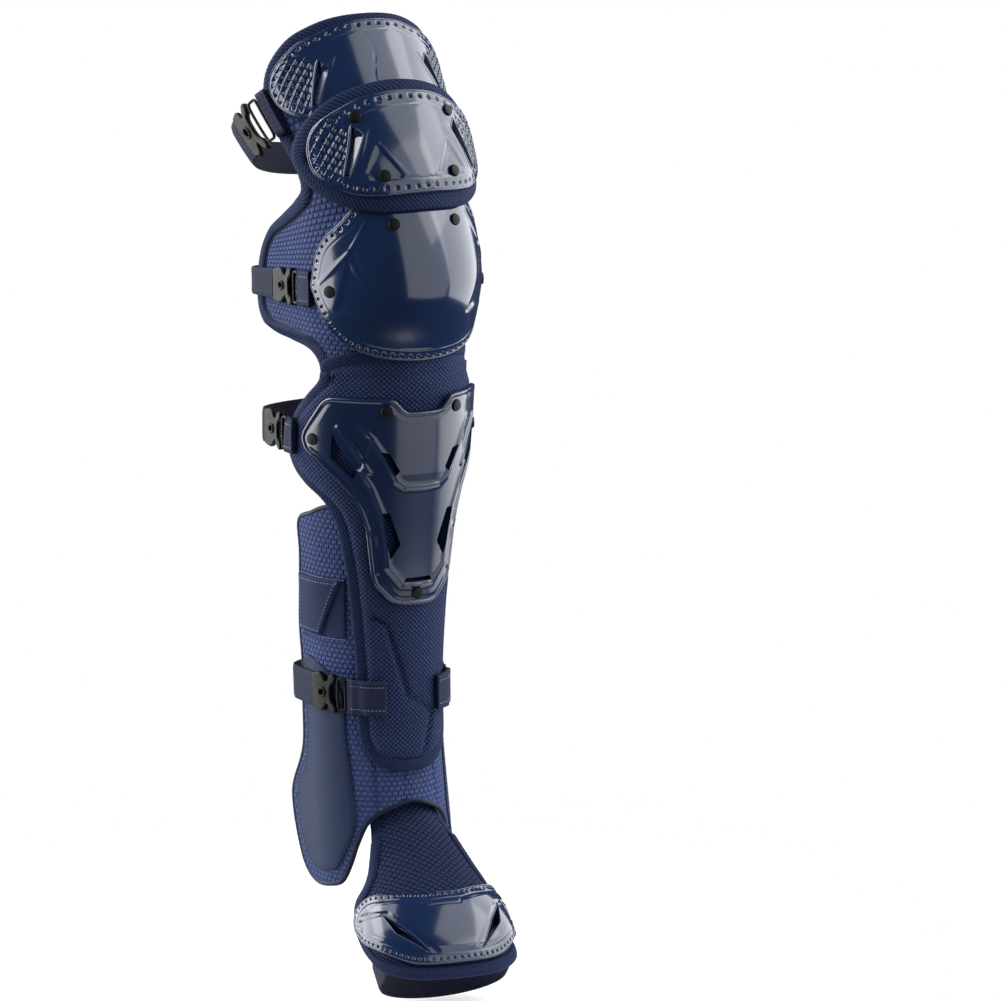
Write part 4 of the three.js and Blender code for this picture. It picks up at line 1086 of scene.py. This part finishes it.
def shin_margin(u, at):
    """Degrees from a place to the pad's edge on its own level."""
    rows = sorted((height(s), a) for a, s in SHIN_EDGE)
    levels = np.array([z + 1e-6 * k for k, (z, _) in enumerate(rows)])
    return np.interp(at, levels, [a for _, a in rows]) - np.abs(u / MM_PER_DEGREE)


def shin_top(u, at):
    down = ramp(height(-0.2) - at, height(-0.2) - height(-0.235))
    end = ramp(at - height(-0.915), 8)
    swell = SHIN_SWELL * down * end * eased(ramp(shin_margin(u, at) - 2, 12))
    groove = 2.3 * near_line(u, at, SHIN_GROOVE, 1.9)
    return SHIN_PADDING + swell - groove


def shin_edge_top(u, at):
    lip = np.where(at > height(-0.2), -BINDING_LIP, BINDING_LIP + 0.4)
    return SHIN_PADDING + lip


pad("shin_cushion", shin_outline, SHIN_PAD_MIDDLE, fine_mesh, SHIN_LOW, shin_top, 1.8,
              nodes=("shin_pad",), slot="fine_mesh", rings=90)
bound_edge("shin_tape", shin_outline, BINDING + 1.2, SHIN_LOW - 0.3, shin_edge_top,
           nodes=("shin_binding",))
shin_seam = inner_ring(shin_outline, BINDING + 1.8, 2.4)
cord_round("shin_seam_piping", np.column_stack([shin_seam, shin_edge_top(*shin_seam.T) - 0.8]),
           0.8, piping_cloth, sides=8, slot="twill")


# Shin plate
# A satin moulded shield with a rolled rim, slots and two raised steps, riveted over the shin pad.
PLATE, PLATE_RISE = 3.4, 2.5
PLATE_MIDDLE = height(-0.4125)
PLATE_CUT = (9.0, 26.0)
PLATE_EDGE = [
    (0, -0.262), (11, -0.262), (18, -0.237), (57, -0.237), (62, -0.246), (75.5, -0.305),
    (77, -0.32), (73.5, -0.343), (62, -0.362), (48.6, -0.397), (42, -0.42), (36, -0.452),
    (33.4, -0.478), (31.7, -0.52), (30, -0.563), (28, -0.583), (17, -0.617), (10, -0.623),
    (0, -0.623),
]
PLATE_SLOTS = [
    [(54, -0.303), (55, -0.348), (41, -0.386), (38, -0.373), (46, -0.345)],
    [(25, -0.333), (20, -0.337), (14, -0.37), (16.5, -0.378)],
    [(23, -0.447), (19, -0.448), (12, -0.507), (18, -0.535), (20, -0.51)],
]
FOOT_SLOT = [(-8, -0.57), (8, -0.57), (9.5, -0.578), (-9.5, -0.578)]
UPPER_STEP = [(38, -0.283), (30, -0.31), (24, -0.34), (15.5, -0.39), (11, -0.4), (0, -0.402)]
LOWER_STEP = [(36, -0.37), (30, -0.4), (23.5, -0.452), (21.5, -0.495), (19.5, -0.55),
              (10.5, -0.583), (0, -0.586)]
SIDE_FOLD = [(50, -0.29), (40, -0.33), (31, -0.372)]
FOOT_STEP = [(31, -0.478), (27.5, -0.49), (25.5, -0.56)]
satin = moulded("satin_navy_plate", "11203d", 0.2, 0.1)


def plate_bottom(u, at):
    return (SHIN_PADDING + SHIN_SWELL + CLEARANCE
            + PLATE_RISE * np.clip(1 - (u / MM_PER_DEGREE / 40) ** 2, 0, None))


def plate_plain(u, at):
    return plate_bottom(u, at) + PLATE


def mirror_rows(rows):
    """A line of rows from one side, over the middle, to the other side."""
    return list(rows) + [(-a, s) for a, s in rows[::-1] if a]


upper_field = flat(mirror_rows(UPPER_STEP) + [(-18, -0.262), (18, -0.262)])
lower_field = flat(mirror_rows(LOWER_STEP) + [(-30, -0.305), (30, -0.305)])


def plate_top(u, at):
    top = plate_plain(u, at)
    upper, lower = within(u, at, upper_field), within(u, at, lower_field)
    started = ramp(height(-0.262) - at, 46)
    lip_started = ramp(height(-0.272) - at, 12)
    top = top + 1.3 * started * ramp(np.maximum(upper, lower) + 0.8, 1.8)
    top = top + 1.0 * started * ramp(upper + 0.8, 1.8)
    for line in (mirror_rows(UPPER_STEP), mirror_rows(LOWER_STEP)):
        top = top + 1.5 * lip_started * near_line(u, at, line, 1.9)
    for way in (1, -1):
        top = top + 1.3 * near_line(way * u, at, SIDE_FOLD, 1.5)
        top = top + 0.9 * near_line(way * u, at, FOOT_STEP, 1.2)
    return top


PLATE_RIM = [(0, 2.6), (0.2, 1.4), (0.6, 0.5), (1.2, 0.05), (1.8, -0.1), (2.4, 0.1), (3.0, 0.55),
             (3.6, 0.8), (4.4, 0.7), (5.6, 0.3), (7.0, 0.0)]


def rounded_corners(points, reach, step):
    """An outline straight between its points, with its corners eased."""
    ring = even_ring(points, step, smooth=False)
    for _ in range(int(reach / step) ** 2):
        ring = evened(ring)
    return ring


plate_ring = rounded_corners(both_halves(flat(PLATE_EDGE)), 3.0, 1.4)
plate = layer("shin_shield", plate_ring, np.array([0.0, PLATE_MIDDLE]), satin,
              plate_bottom, plate_top,
              rim=PLATE_RIM, rings=112, nodes=("shin_plate",), slot="satin_shell")
holes = [h for rows in PLATE_SLOTS for h in two_sides(rows)] + [flat(FOOT_SLOT)]
cut_through(plate, holes, on_leg, *PLATE_CUT)


# Toe flap
# A padded tongue of diamond knit from inside the wrap over the instep, bound with twill tape.
TOE_PADDING = 4.0
TOE_EDGE = [
    (0, -0.2), (24, -0.19), (34, -0.1), (36, 0), (39, 0.1), (44.5, 0.2), (51, 0.28), (57, 0.34),
    (66, 0.385), (84, 0.42), (98, 0.48), (102, 0.57), (98, 0.7), (86, 0.81), (63, 0.9),
    (33, 0.965), (0, 0.985),
]
# Diamond knit of nylon: cells 7 by 4.7 mm, puffed, with their walls painted darker as shade
diamond = knit("diamond_knit_nylon", "1f2a4b", "111930", 4.95, 4.95, 1.3, 0.0014,
               turn=math.radians(45), offset=0.0, squash=1.49)
toe_outline = both_halves(flat_shoe(TOE_EDGE))


def toe_edge_top(u, at):
    return TOE_PADDING + np.where(at < -0.2 * FOOT, BINDING_LIP + 0.5, 0.0)


pad("toe_flap_cushion", toe_outline, -0.5 * FOOT, diamond, 0.0, TOE_PADDING, 1.2,
              place=on_shoe, nodes=("toe_flap",), slot="knit", rings=50)
bound_edge("toe_flap_tape", toe_outline, BINDING + 1.0, -0.6, toe_edge_top, place=on_shoe,
           nodes=("toe_binding",))


# Toe cap
# A glossy moulded cap sewn over the toe flap through a wide notched flange. Its body stands up
# inside a double line, with a slanting slot and a chevron fold on each side.
CAP_RISE = 4.0
# Distances out between which the slots are cut
CAP_CUT = (4.0, 20.0)
# Where the crown is highest and how far it reaches, in shares of the foot and degrees
CAP_MIDDLE, CAP_HALF, CAP_ANGLE = 0.72, 0.2, 94
CAP_EDGE = [
    (0, 0.56), (14, 0.555), (40, 0.51), (62, 0.475), (80, 0.495), (92, 0.54), (94, 0.6),
    (84, 0.69), (57, 0.825), (35, 0.9), (0, 0.925),
]
CAP_SLOT = [(52, 0.62), (45, 0.735), (21, 0.87), (36, 0.73)]
CAP_FOLD = [(76, 0.55), (46, 0.615), (13, 0.875)]
CAP_LEDGE = [(79, 0.575), (54, 0.615)]
CAP_TAB = [(-16, 0.6), (-12, 0.64), (12, 0.64), (16, 0.6)]
cap_ring = even_ring(both_halves(flat_shoe(CAP_EDGE)), 1.4)


def cap_bottom(u, at):
    across = u / MM_PER_DEGREE / CAP_ANGLE
    along = (-at / FOOT - CAP_MIDDLE) / CAP_HALF
    crown = CAP_RISE * np.clip(1 - across**2 - along**2, 0, None)
    return TOE_PADDING + BINDING_LIP + CLEARANCE + crown


def cap_plain(u, at):
    return cap_bottom(u, at) + SHELL


def cap_top(u, at):
    deep = within(u, at, cap_ring)
    top = cap_plain(u, at) + 1.3 * ramp(deep - 8.0, 1.4)
    top = top - 0.55 * np.exp(-((deep - 10.8) / 0.5) ** 2)
    for way in (1, -1):
        wing = within(way * u, at, flat_shoe(CAP_FOLD + [(40, 0.86), (79, 0.65)]))
        top = top - 1.1 * ramp(wing + 0.6, 2.2)
        top = top + 0.5 * near_line(way * u, at, CAP_LEDGE, 1.2, place=flat_shoe)
    return top - 0.5 * near_line(u, at, CAP_TAB, 0.8, place=flat_shoe)


cap = layer("toe_cap_shell", cap_ring, np.array([0.0, -0.7 * FOOT]), glossy, cap_bottom, cap_top,
            rim=SHELL_RIM + [(10.2, 0.0), (11.4, 0.0)], rings=70, place=on_shoe,
            nodes=("toe_cap",), slot="glossy_shell")
cut_through(cap, two_sides(CAP_SLOT, place=flat_shoe), on_shoe, *CAP_CUT)
for side, hole in zip(("medial", "lateral"), two_sides(CAP_SLOT, place=flat_shoe)):
    vent_lip(f"toe_slot_lip_{side}", hole, cap_top, place=on_shoe, wide=1.6, open_side=0)
sewn_rim("toe_cap", cap_ring, cap_plain, place=on_shoe)


# Straps
# Elastic webbing that runs round the back of the leg at four levels and under the sole, woven
# with fine cross ribs and a firm selvedge.
WEBBING_WIDTH, WEBBING, ELASTIC_WIDTH, WEFT_PITCH = 25.0, 2.0, 22.0, 1.3
HOOK, HOOK_WIDTH, EYELET, PLAY, WIRE, RING_REACH = 4.0, 29.0, 6.0, 0.3, 2.2, 9.0


def woven(name, base, across):
    """Webbing: ribs across it, and lines along it every `across` millimetres, its colour painted
    darker in their grooves as shade and lighter on their crests as highlight.
    """
    finish, tree, shader = cloth_surface(name, 0.7, 0.04, 0.15)
    cloth = add(tree, "ShaderNodeUVMap", uv_map="cloth")
    apart = add(tree, "ShaderNodeSeparateXYZ", {"Vector": cloth})
    wave, lines = [
        calc(tree, "SINE", calc(tree, "MULTIPLY", apart.outputs[way], 2 * math.pi / pitch))
        for way, pitch in (("X", WEFT_PITCH), ("Y", across))]
    weave_and_painted_shade = calc(tree, "MULTIPLY_ADD", lines, 0.6, wave)
    # Colour from the weave's relief: painted shade in the grooves, painted highlight on the crests
    paint(tree, shader, colour(base)[:3], ranged(tree, weave_and_painted_shade, (0.6, 1.25), given=(-1.6, 1.6)))
    emboss(tree, shader, weave_and_painted_shade, 0.5, 0.0002)
    return finish


webbing = woven("ribbed_polyester_webbing", "161e36", 2.6)
elastic = woven("ribbed_elastic_webbing", "141b31", 2.0)


def tube_faces(rows, across):
    """Faces of a grid whose rows close to a tube, with both its ends."""
    faces = grid_faces(rows, across, round_rows=True, round_across=False)
    faces.append(tuple(k * across for k in range(rows)))
    faces.append(tuple(k * across + across - 1 for k in reversed(range(rows))))
    return faces


def strap(name, table, level, out, straight, closing, ends, width, finish, way=1, **facts):
    """A strip of webbing from one side round the back to the other, on the leg's or shoe's
    sections: straight back past the sides, then across on half an ellipse."""
    rows = np.linspace(-width / 2, width / 2, 11)
    middle = section_at(table, level)
    reach = middle[4] + out
    route = []
    for end, side in ((ends[0], -1), (ends[1], 1)):
        run = np.column_stack(on_section(middle, np.arange(end, 90, 2.0), out))
        first = min((90 - max(end, 90)) * MM_PER_DEGREE, 0.0)
        back = np.column_stack([np.full(16, reach), np.linspace(first, -straight, 16)])
        run = np.vstack([run, back]) * (side, 1)
        route.append(run if side < 0 else run[::-1])
    turn = np.linspace(0, math.pi, 50)[1:-1]
    bow = np.column_stack([-reach * np.cos(turn), -straight - closing * np.sin(turn)])
    route = np.vstack([route[0], bow, route[1]])
    for _ in range(6):
        route[1:-1] = (route[:-2] + 2 * route[1:-1] + route[2:]) / 4
    along = unit(np.gradient(route, axis=0))
    aside = np.column_stack([-along[:, 1], along[:, 0]])
    run = distances(route)
    section = [(r, 1) for r in rows] + [(r, -1) for r in rows[::-1]]
    thin = [WEBBING / 2 * (0.45 if abs(r) > width / 2 - 0.5 else 1.0) for r, _ in section]
    verts, uv = [], []
    for (up, face), thick in zip(section, thin):
        here = section_at(table, level + way * up)
        flat_place = route + aside * (face * thick)
        side = flat_place[:, 0] * (here[4] + out) / reach
        verts.append(stood_up(here, side, flat_place[:, 1]))
        uv.append(np.column_stack([run, np.full(len(run), up)]))
    faces = tube_faces(len(section), len(route))
    piece = mesh_piece(name, np.vstack(verts), faces, finish, uv=np.vstack(uv), slot="webbing",
                       **facts)
    piece.data.set_sharp_from_angle(angle=math.radians(50))
    return piece


# Powder-coated steel: satin black, with a low index that keeps it dark under the lights
black_metal = moulded("black_coated_steel", "060708", 0.5, 0.0, bend=1.25)
OVER_BINDING = THIGH_PADDING + BINDING_LIP + CLEARANCE
OVER_LINER = THIGH_PADDING + CLEARANCE
OVER_SHIN = SHIN_PADDING + BINDING_LIP + CLEARANCE
OVER_PATCH = UNDERLAP + SEWN + PATCH + CLEARANCE


def over_shin_pad(u, at):
    """The highest face near a place beside the shin pad, on which a webbing loop lies."""
    faces = []
    for aside in (-4, 0, 4):
        margin = shin_margin(u + aside, at) * MM_PER_DEGREE
        on_pad = np.where(margin < BINDING, OVER_SHIN, shin_top(u + aside, at) + CLEARANCE)
        faces.append(np.where(margin < 0, OVER_PATCH, on_pad))
    return np.max(faces, axis=0)


# Columns: name, level, degrees where the loops start, loop and hook length, what the loops lie
# on, how far out rings and hook lie, how far out the strap lies, its straight run and its bow
STRAPS = [
    ("thigh", 0.7, 66.5, 7, 20, OVER_BINDING, OVER_BINDING, OVER_BINDING, 15, 40),
    ("knee", -0.05, 79, 14, 30, OVER_LINER + SEWN, OVER_LINER, OVER_BINDING, 74, 22),
    ("calf", -0.322, 84, 13, 26, over_shin_pad, OVER_SHIN, OVER_SHIN, 46, 20),
    ("ankle", -0.795, 20, 30, 24, over_shin_pad, OVER_PATCH, OVER_PATCH, 22, 20),
]


# How far the round fold reaches along the webbing
FOLD = 2.0


def folded_loop(name, u0, u1, level, under, sign, finish, **facts):
    """Webbing folded flat round a ring: two plies on the pad with a round fold at the ring."""
    profile = [(0, 0.2), (0, HOOK / 2 - 0.15), (0, HOOK / 2 + 0.15), (0, HOOK - 0.3), (0.5, HOOK)]
    length = abs(u1 - u0)
    steps = np.linspace(0.06, 1, 12)
    plies = [length * s - (FOLD if s == 1 else 0) for s in steps]
    turn = np.linspace(math.pi / 2, -math.pi / 2, 11)[1:-1]
    profile += [(along, HOOK) for along in plies]
    profile += [(length - FOLD + FOLD * math.cos(t), HOOK / 2 + HOOK / 2 * math.sin(t))
                for t in turn]
    profile += [(along, 0.0) for along in reversed(plies)]
    rows = np.linspace(-WEBBING_WIDTH / 2, WEBBING_WIDTH / 2, 13)
    verts, uv = [], []
    for (along, lift), run in zip(profile, distances(np.array(profile))):
        u = np.full(len(rows), u0 + sign * along)
        at = level + rows
        low = value_at(under, u, at)
        ease = np.where(np.abs(rows) > WEBBING_WIDTH / 2 - 0.4, 0.25, 0)
        verts.append(on_leg(u, at, low + lift + np.where(lift > HOOK / 2, -ease, ease)))
        uv.append(np.column_stack([np.full(len(rows), run), rows]))
    faces = tube_faces(len(profile), len(rows))
    if sign > 0:
        faces = [tuple(reversed(f)) for f in faces]
    return mesh_piece(name, np.vstack(verts), faces, finish, uv=np.vstack(uv), slot="webbing",
                      **facts)


# Hooks: flat stamped plates with two curved claws over the ring and a raised round eyelet.
# Columns: share of the hook's length from the strap's end, share of its width.
HOOK_EDGE = [
    (0, 0.43), (0.12, 0.47), (0.35, 0.5), (0.48, 0.44), (0.6, 0.28), (0.66, 0.3), (0.72, 0.4),
    (0.82, 0.48), (0.92, 0.5), (0.99, 0.46), (1, 0.38), (0.94, 0.28), (0.82, 0.21), (0.79, 0.1),
    (0.79, -0.1), (0.82, -0.21), (0.94, -0.28), (1, -0.38), (0.99, -0.46), (0.92, -0.5),
    (0.82, -0.48), (0.72, -0.4), (0.66, -0.3), (0.6, -0.28), (0.48, -0.44), (0.35, -0.5),
    (0.12, -0.47), (0, -0.43),
]
HOOK_SINK, CLAW_RISE, EYE_SINK = 0.9, 0.7, 2.6
# Shorter webbing loops have no stitches that show
SHORTEST_STITCHED_LOOP, LOOP_STITCH_ROWS = 10, (-8.5, 8.5)


# Angles all round a ring or an eye
ROUND = np.linspace(0, 2 * math.pi, 60, endpoint=False)


def wire_oval(middle, level, wide, tall, out):
    """A path round a flattened ring with well-rounded corners."""
    grow = (np.cos(ROUND) ** 6 + np.sin(ROUND) ** 6) ** (-1 / 6)
    return np.column_stack([middle + wide / 2 * grow * np.cos(ROUND),
                            level + tall / 2 * grow * np.sin(ROUND), np.full(len(ROUND), out)])


def hook_face(middle, level, seat, hook):
    """The hook's face: its claws rise over the ring and its eye is a recess."""
    def face(u, at):
        from_eye = np.hypot(u - middle, at - level)
        claws = ramp(u - middle - 0.2 * hook, 0.3 * hook)
        eye_hole = ramp(EYELET / 2 + 0.3 - from_eye, 0.6)
        return seat + HOOK - HOOK_SINK + CLAW_RISE * claws - EYE_SINK * eye_hole
    return face


def loop_stitches(name, start, loop, level, under, sign):
    """The two rows of stitches that hold a webbing loop down."""
    for k, up in enumerate(LOOP_STITCH_ROWS):
        run = sign * np.linspace(start + 2, start + loop - 3.5, max(int(loop / 2.6), 3))
        at = np.full(len(run), level + up)
        path = np.column_stack([run, at, value_at(under, run, at) + HOOK + 0.05])
        repeat_along(f"{name}_{k}", path, stitch, thread, sizes=(2.0, 0.45, 0.35))


for name, share, start_at, loop, hook, under, seat, out, straight, closing in STRAPS:
    level = height(share)
    start = start_at * MM_PER_DEGREE
    ring_start = start + loop + PLAY
    ring_end = ring_start + RING_REACH
    hook_end = ring_end + PLAY + hook
    for side, sign in (("outer", -1), ("inner", 1)):
        folded_loop(f"{name}_webbing_loop_{side}", sign * start, sign * (start + loop), level,
                    under, sign, webbing, nodes=(f"{name}_loop_{side}",))
        if loop > SHORTEST_STITCHED_LOOP:
            loop_stitches(f"{name}_loop_stitches_{side}", start, loop, level, under, sign)
        path = wire_oval(sign * (ring_start + ring_end) / 2, level, RING_REACH - WIRE,
                         WEBBING_WIDTH - WIRE, seat + HOOK / 2)
        cord_round(f"{name}_wire_ring_{side}", path, WIRE / 2, black_metal, sides=14,
                   nodes=(f"{name}_ring_{side}",), slot="black_metal")
    rows = [(along * hook - hook_end, level + across * HOOK_WIDTH)
            for along, across in HOOK_EDGE]
    middle = 0.45 * hook - hook_end
    layer(f"{name}_hook_plate", rounded_corners(rows, 1.2, 0.8), np.array([middle, level]),
          black_metal, seat, hook_face(middle, level, seat, hook),
          rim=[(0, 1.5), (0.15, 0.8), (0.5, 0.25), (1.0, 0.0)], rings=30, nodes=(f"{name}_hook",),
          slot="black_metal")
    eye = np.column_stack([middle + EYELET / 2 * np.cos(ROUND), level + EYELET / 2 * np.sin(ROUND),
                           np.full(len(ROUND), seat + HOOK - 0.7)])
    cord_round(f"{name}_eyelet", eye, 0.9, black_metal, sides=10, slot="black_metal")
    strap(f"{name}_elastic", LEG, level, out + WEBBING / 2, straight, closing,
          [(hook_end + 2 * PLAY) / MM_PER_DEGREE, (ring_end + PLAY) / MM_PER_DEGREE],
          WEBBING_WIDTH, elastic, nodes=(f"{name}_strap",))

strap("sole_elastic", SHOE, 0.8 * FOOT, -BINDING_LIP / 2 - CLEARANCE - WEBBING / 2, 14, 22,
      [66, 66], ELASTIC_WIDTH, elastic, way=-1, nodes=("toe_elastic",))


# Rivets
# Black caps 9 mm across that hold flap, knee shell and shin plate.
RIVET, RIVET_HEIGHT = 9.0, 1.8
RIVETS = [
    (26.5, 0.548, flap_plain), (21, 0.316, flap_plain),
    (20, 0.128, knee_plain), (61, -0.05, knee_plain),
    (22.5, -0.26, plate_plain), (67, -0.318, plate_plain), (0, -0.6, plate_plain),
]


def rivet_head(tree):
    """A low cap with a bevelled edge and a domed face, 1 mm across before its sizes are given."""
    cap_edge = add(tree, "GeometryNodeMeshCone", {
        "Vertices": 44, "Radius Top": 0.42, "Radius Bottom": 0.5, "Depth": 0.8})
    dome = add(tree, "GeometryNodeMeshUVSphere", {"Segments": 32, "Rings": 16, "Radius": 0.4})
    lifted = add(tree, "GeometryNodeTransform", {"Geometry": dome, "Translation": (0, 0, 0.6)})
    both = tree.nodes.new("GeometryNodeJoinGeometry")
    for part in (lifted, cap_edge):
        tree.links.new(part.outputs[0], both.inputs[0])
    return both


places = []
for angle, share, face in RIVETS:
    for sign in ((-1, 1) if angle else (1,)):
        u, at = sign * angle * MM_PER_DEGREE, height(share)
        places.append((u, at, float(face(np.array([u]), np.array([at]))[0]) + SEWN))
repeat_along("rivet_caps", places, rivet_head, black_metal, sizes=(RIVET, RIVET, RIVET_HEIGHT),
             smooth=False, nodes=tuple(
                 f"rivet_{part}_{side}" for part in (
                     "flap_upper", "flap_lower", "knee_upper", "knee_side", "plate_upper",
                     "plate_side") for side in ("outer", "inner")) + ("rivet_plate_foot",))


# Studio
# A white paper floor and backdrop, five soft boxes and a camera at the photograph's angle.
def towards(azimuth, elevation):
    """The way out from the guard at these angles in degrees."""
    a, e = math.radians(azimuth), math.radians(elevation)
    return Vector((math.sin(a) * math.cos(e), -math.cos(a) * math.cos(e), math.sin(e)))


def studio_light(name, azimuth, elevation, distance, width, tall, power):
    """A soft box aimed at the guard's middle, as seen from the guard."""
    middle = Vector((0, 0, -0.18))
    way = towards(azimuth, elevation)
    data = bpy.data.lights.new(name, "AREA")
    data.shape, data.size, data.size_y = "RECTANGLE", width, tall
    data.energy = power
    lamp = bpy.data.objects.new(name, data)
    bpy.context.collection.objects.link(lamp)
    lamp.location = middle + way * distance
    lamp.rotation_euler = way.to_track_quat("Z", "Y").to_euler()


VIEW_AZIMUTH, VIEW_ELEVATION, VIEW_DISTANCE, PX_PER_MM = -30.0, 11.5, 4.0, 1.386
studio_light("box_right", VIEW_AZIMUTH + 48, 14, 2.4, 2.8, 3.4, 46)
studio_light("box_side", VIEW_AZIMUTH + 110, 14, 2.4, 3.0, 3.4, 120)
studio_light("box_left", VIEW_AZIMUTH - 104, 14, 2.4, 3.4, 3.4, 200)
studio_light("box_above_left", VIEW_AZIMUTH - 105, 50, 2.6, 2.2, 2.0, 38)
studio_light("box_above_right", VIEW_AZIMUTH + 84, 50, 2.6, 2.2, 2.0, 30)

world = bpy.data.worlds.new("studio")
bpy.context.scene.world = world
world.use_nodes = True
sky = world.node_tree
seen = add(sky, "ShaderNodeLightPath")
shade = add(sky, "ShaderNodeMix", {
    "Factor": seen.outputs["Is Camera Ray"], "A": (0.05, 0.053, 0.06, 1), "B": (1, 1, 1, 1)},
    data_type="RGBA")
sky.links.new(shade.outputs["Result"], sky.nodes["Background"].inputs["Color"])

FLOOR_REACH = 0.42
around = np.linspace(0, 2 * math.pi, 96, endpoint=False)
floor_mesh = bpy.data.meshes.new("floor")
floor_mesh.from_pydata(
    [(FLOOR_REACH * math.cos(t), FLOOR_REACH * math.sin(t), cad_box[0][2] - 0.002) for t in around],
    [], [tuple(range(len(around)))])
floor = bpy.data.objects.new("floor", floor_mesh)
bpy.context.collection.objects.link(floor)
# White paper under its own even light, so that it meets the white backdrop without an edge
floor_finish, _, floor_shader = surface("white_paper", Roughness=0.9)
floor_shader.inputs["Base Color"].default_value = (0.5, 0.5, 0.5, 1)
floor_shader.inputs["Emission Color"].default_value = (1, 1, 1, 1)
floor_shader.inputs["Emission Strength"].default_value = 0.45
floor_mesh.materials.append(floor_finish)

bpy.context.scene.view_settings.view_transform = "Standard"
back = towards(VIEW_AZIMUTH, VIEW_ELEVATION)
right = Vector((math.cos(math.radians(VIEW_AZIMUTH)), math.sin(math.radians(VIEW_AZIMUTH)), 0))
up = back.cross(right)
HALF_FRAME = 500.5
aim = -((370 - HALF_FRAME) * right + (HALF_FRAME - 250) * up) / PX_PER_MM / 1000
lens = bpy.data.cameras.new("camera")
lens.sensor_width = 36
lens.lens = lens.sensor_width / 2 * VIEW_DISTANCE / (HALF_FRAME / PX_PER_MM / 1000)
lens.clip_end = 100
camera = bpy.data.objects.new("camera", lens)
bpy.context.collection.objects.link(camera)
camera.location = aim + back * VIEW_DISTANCE
camera.rotation_euler = back.to_track_quat("Z", "Y").to_euler()
bpy.context.scene.camera = camera
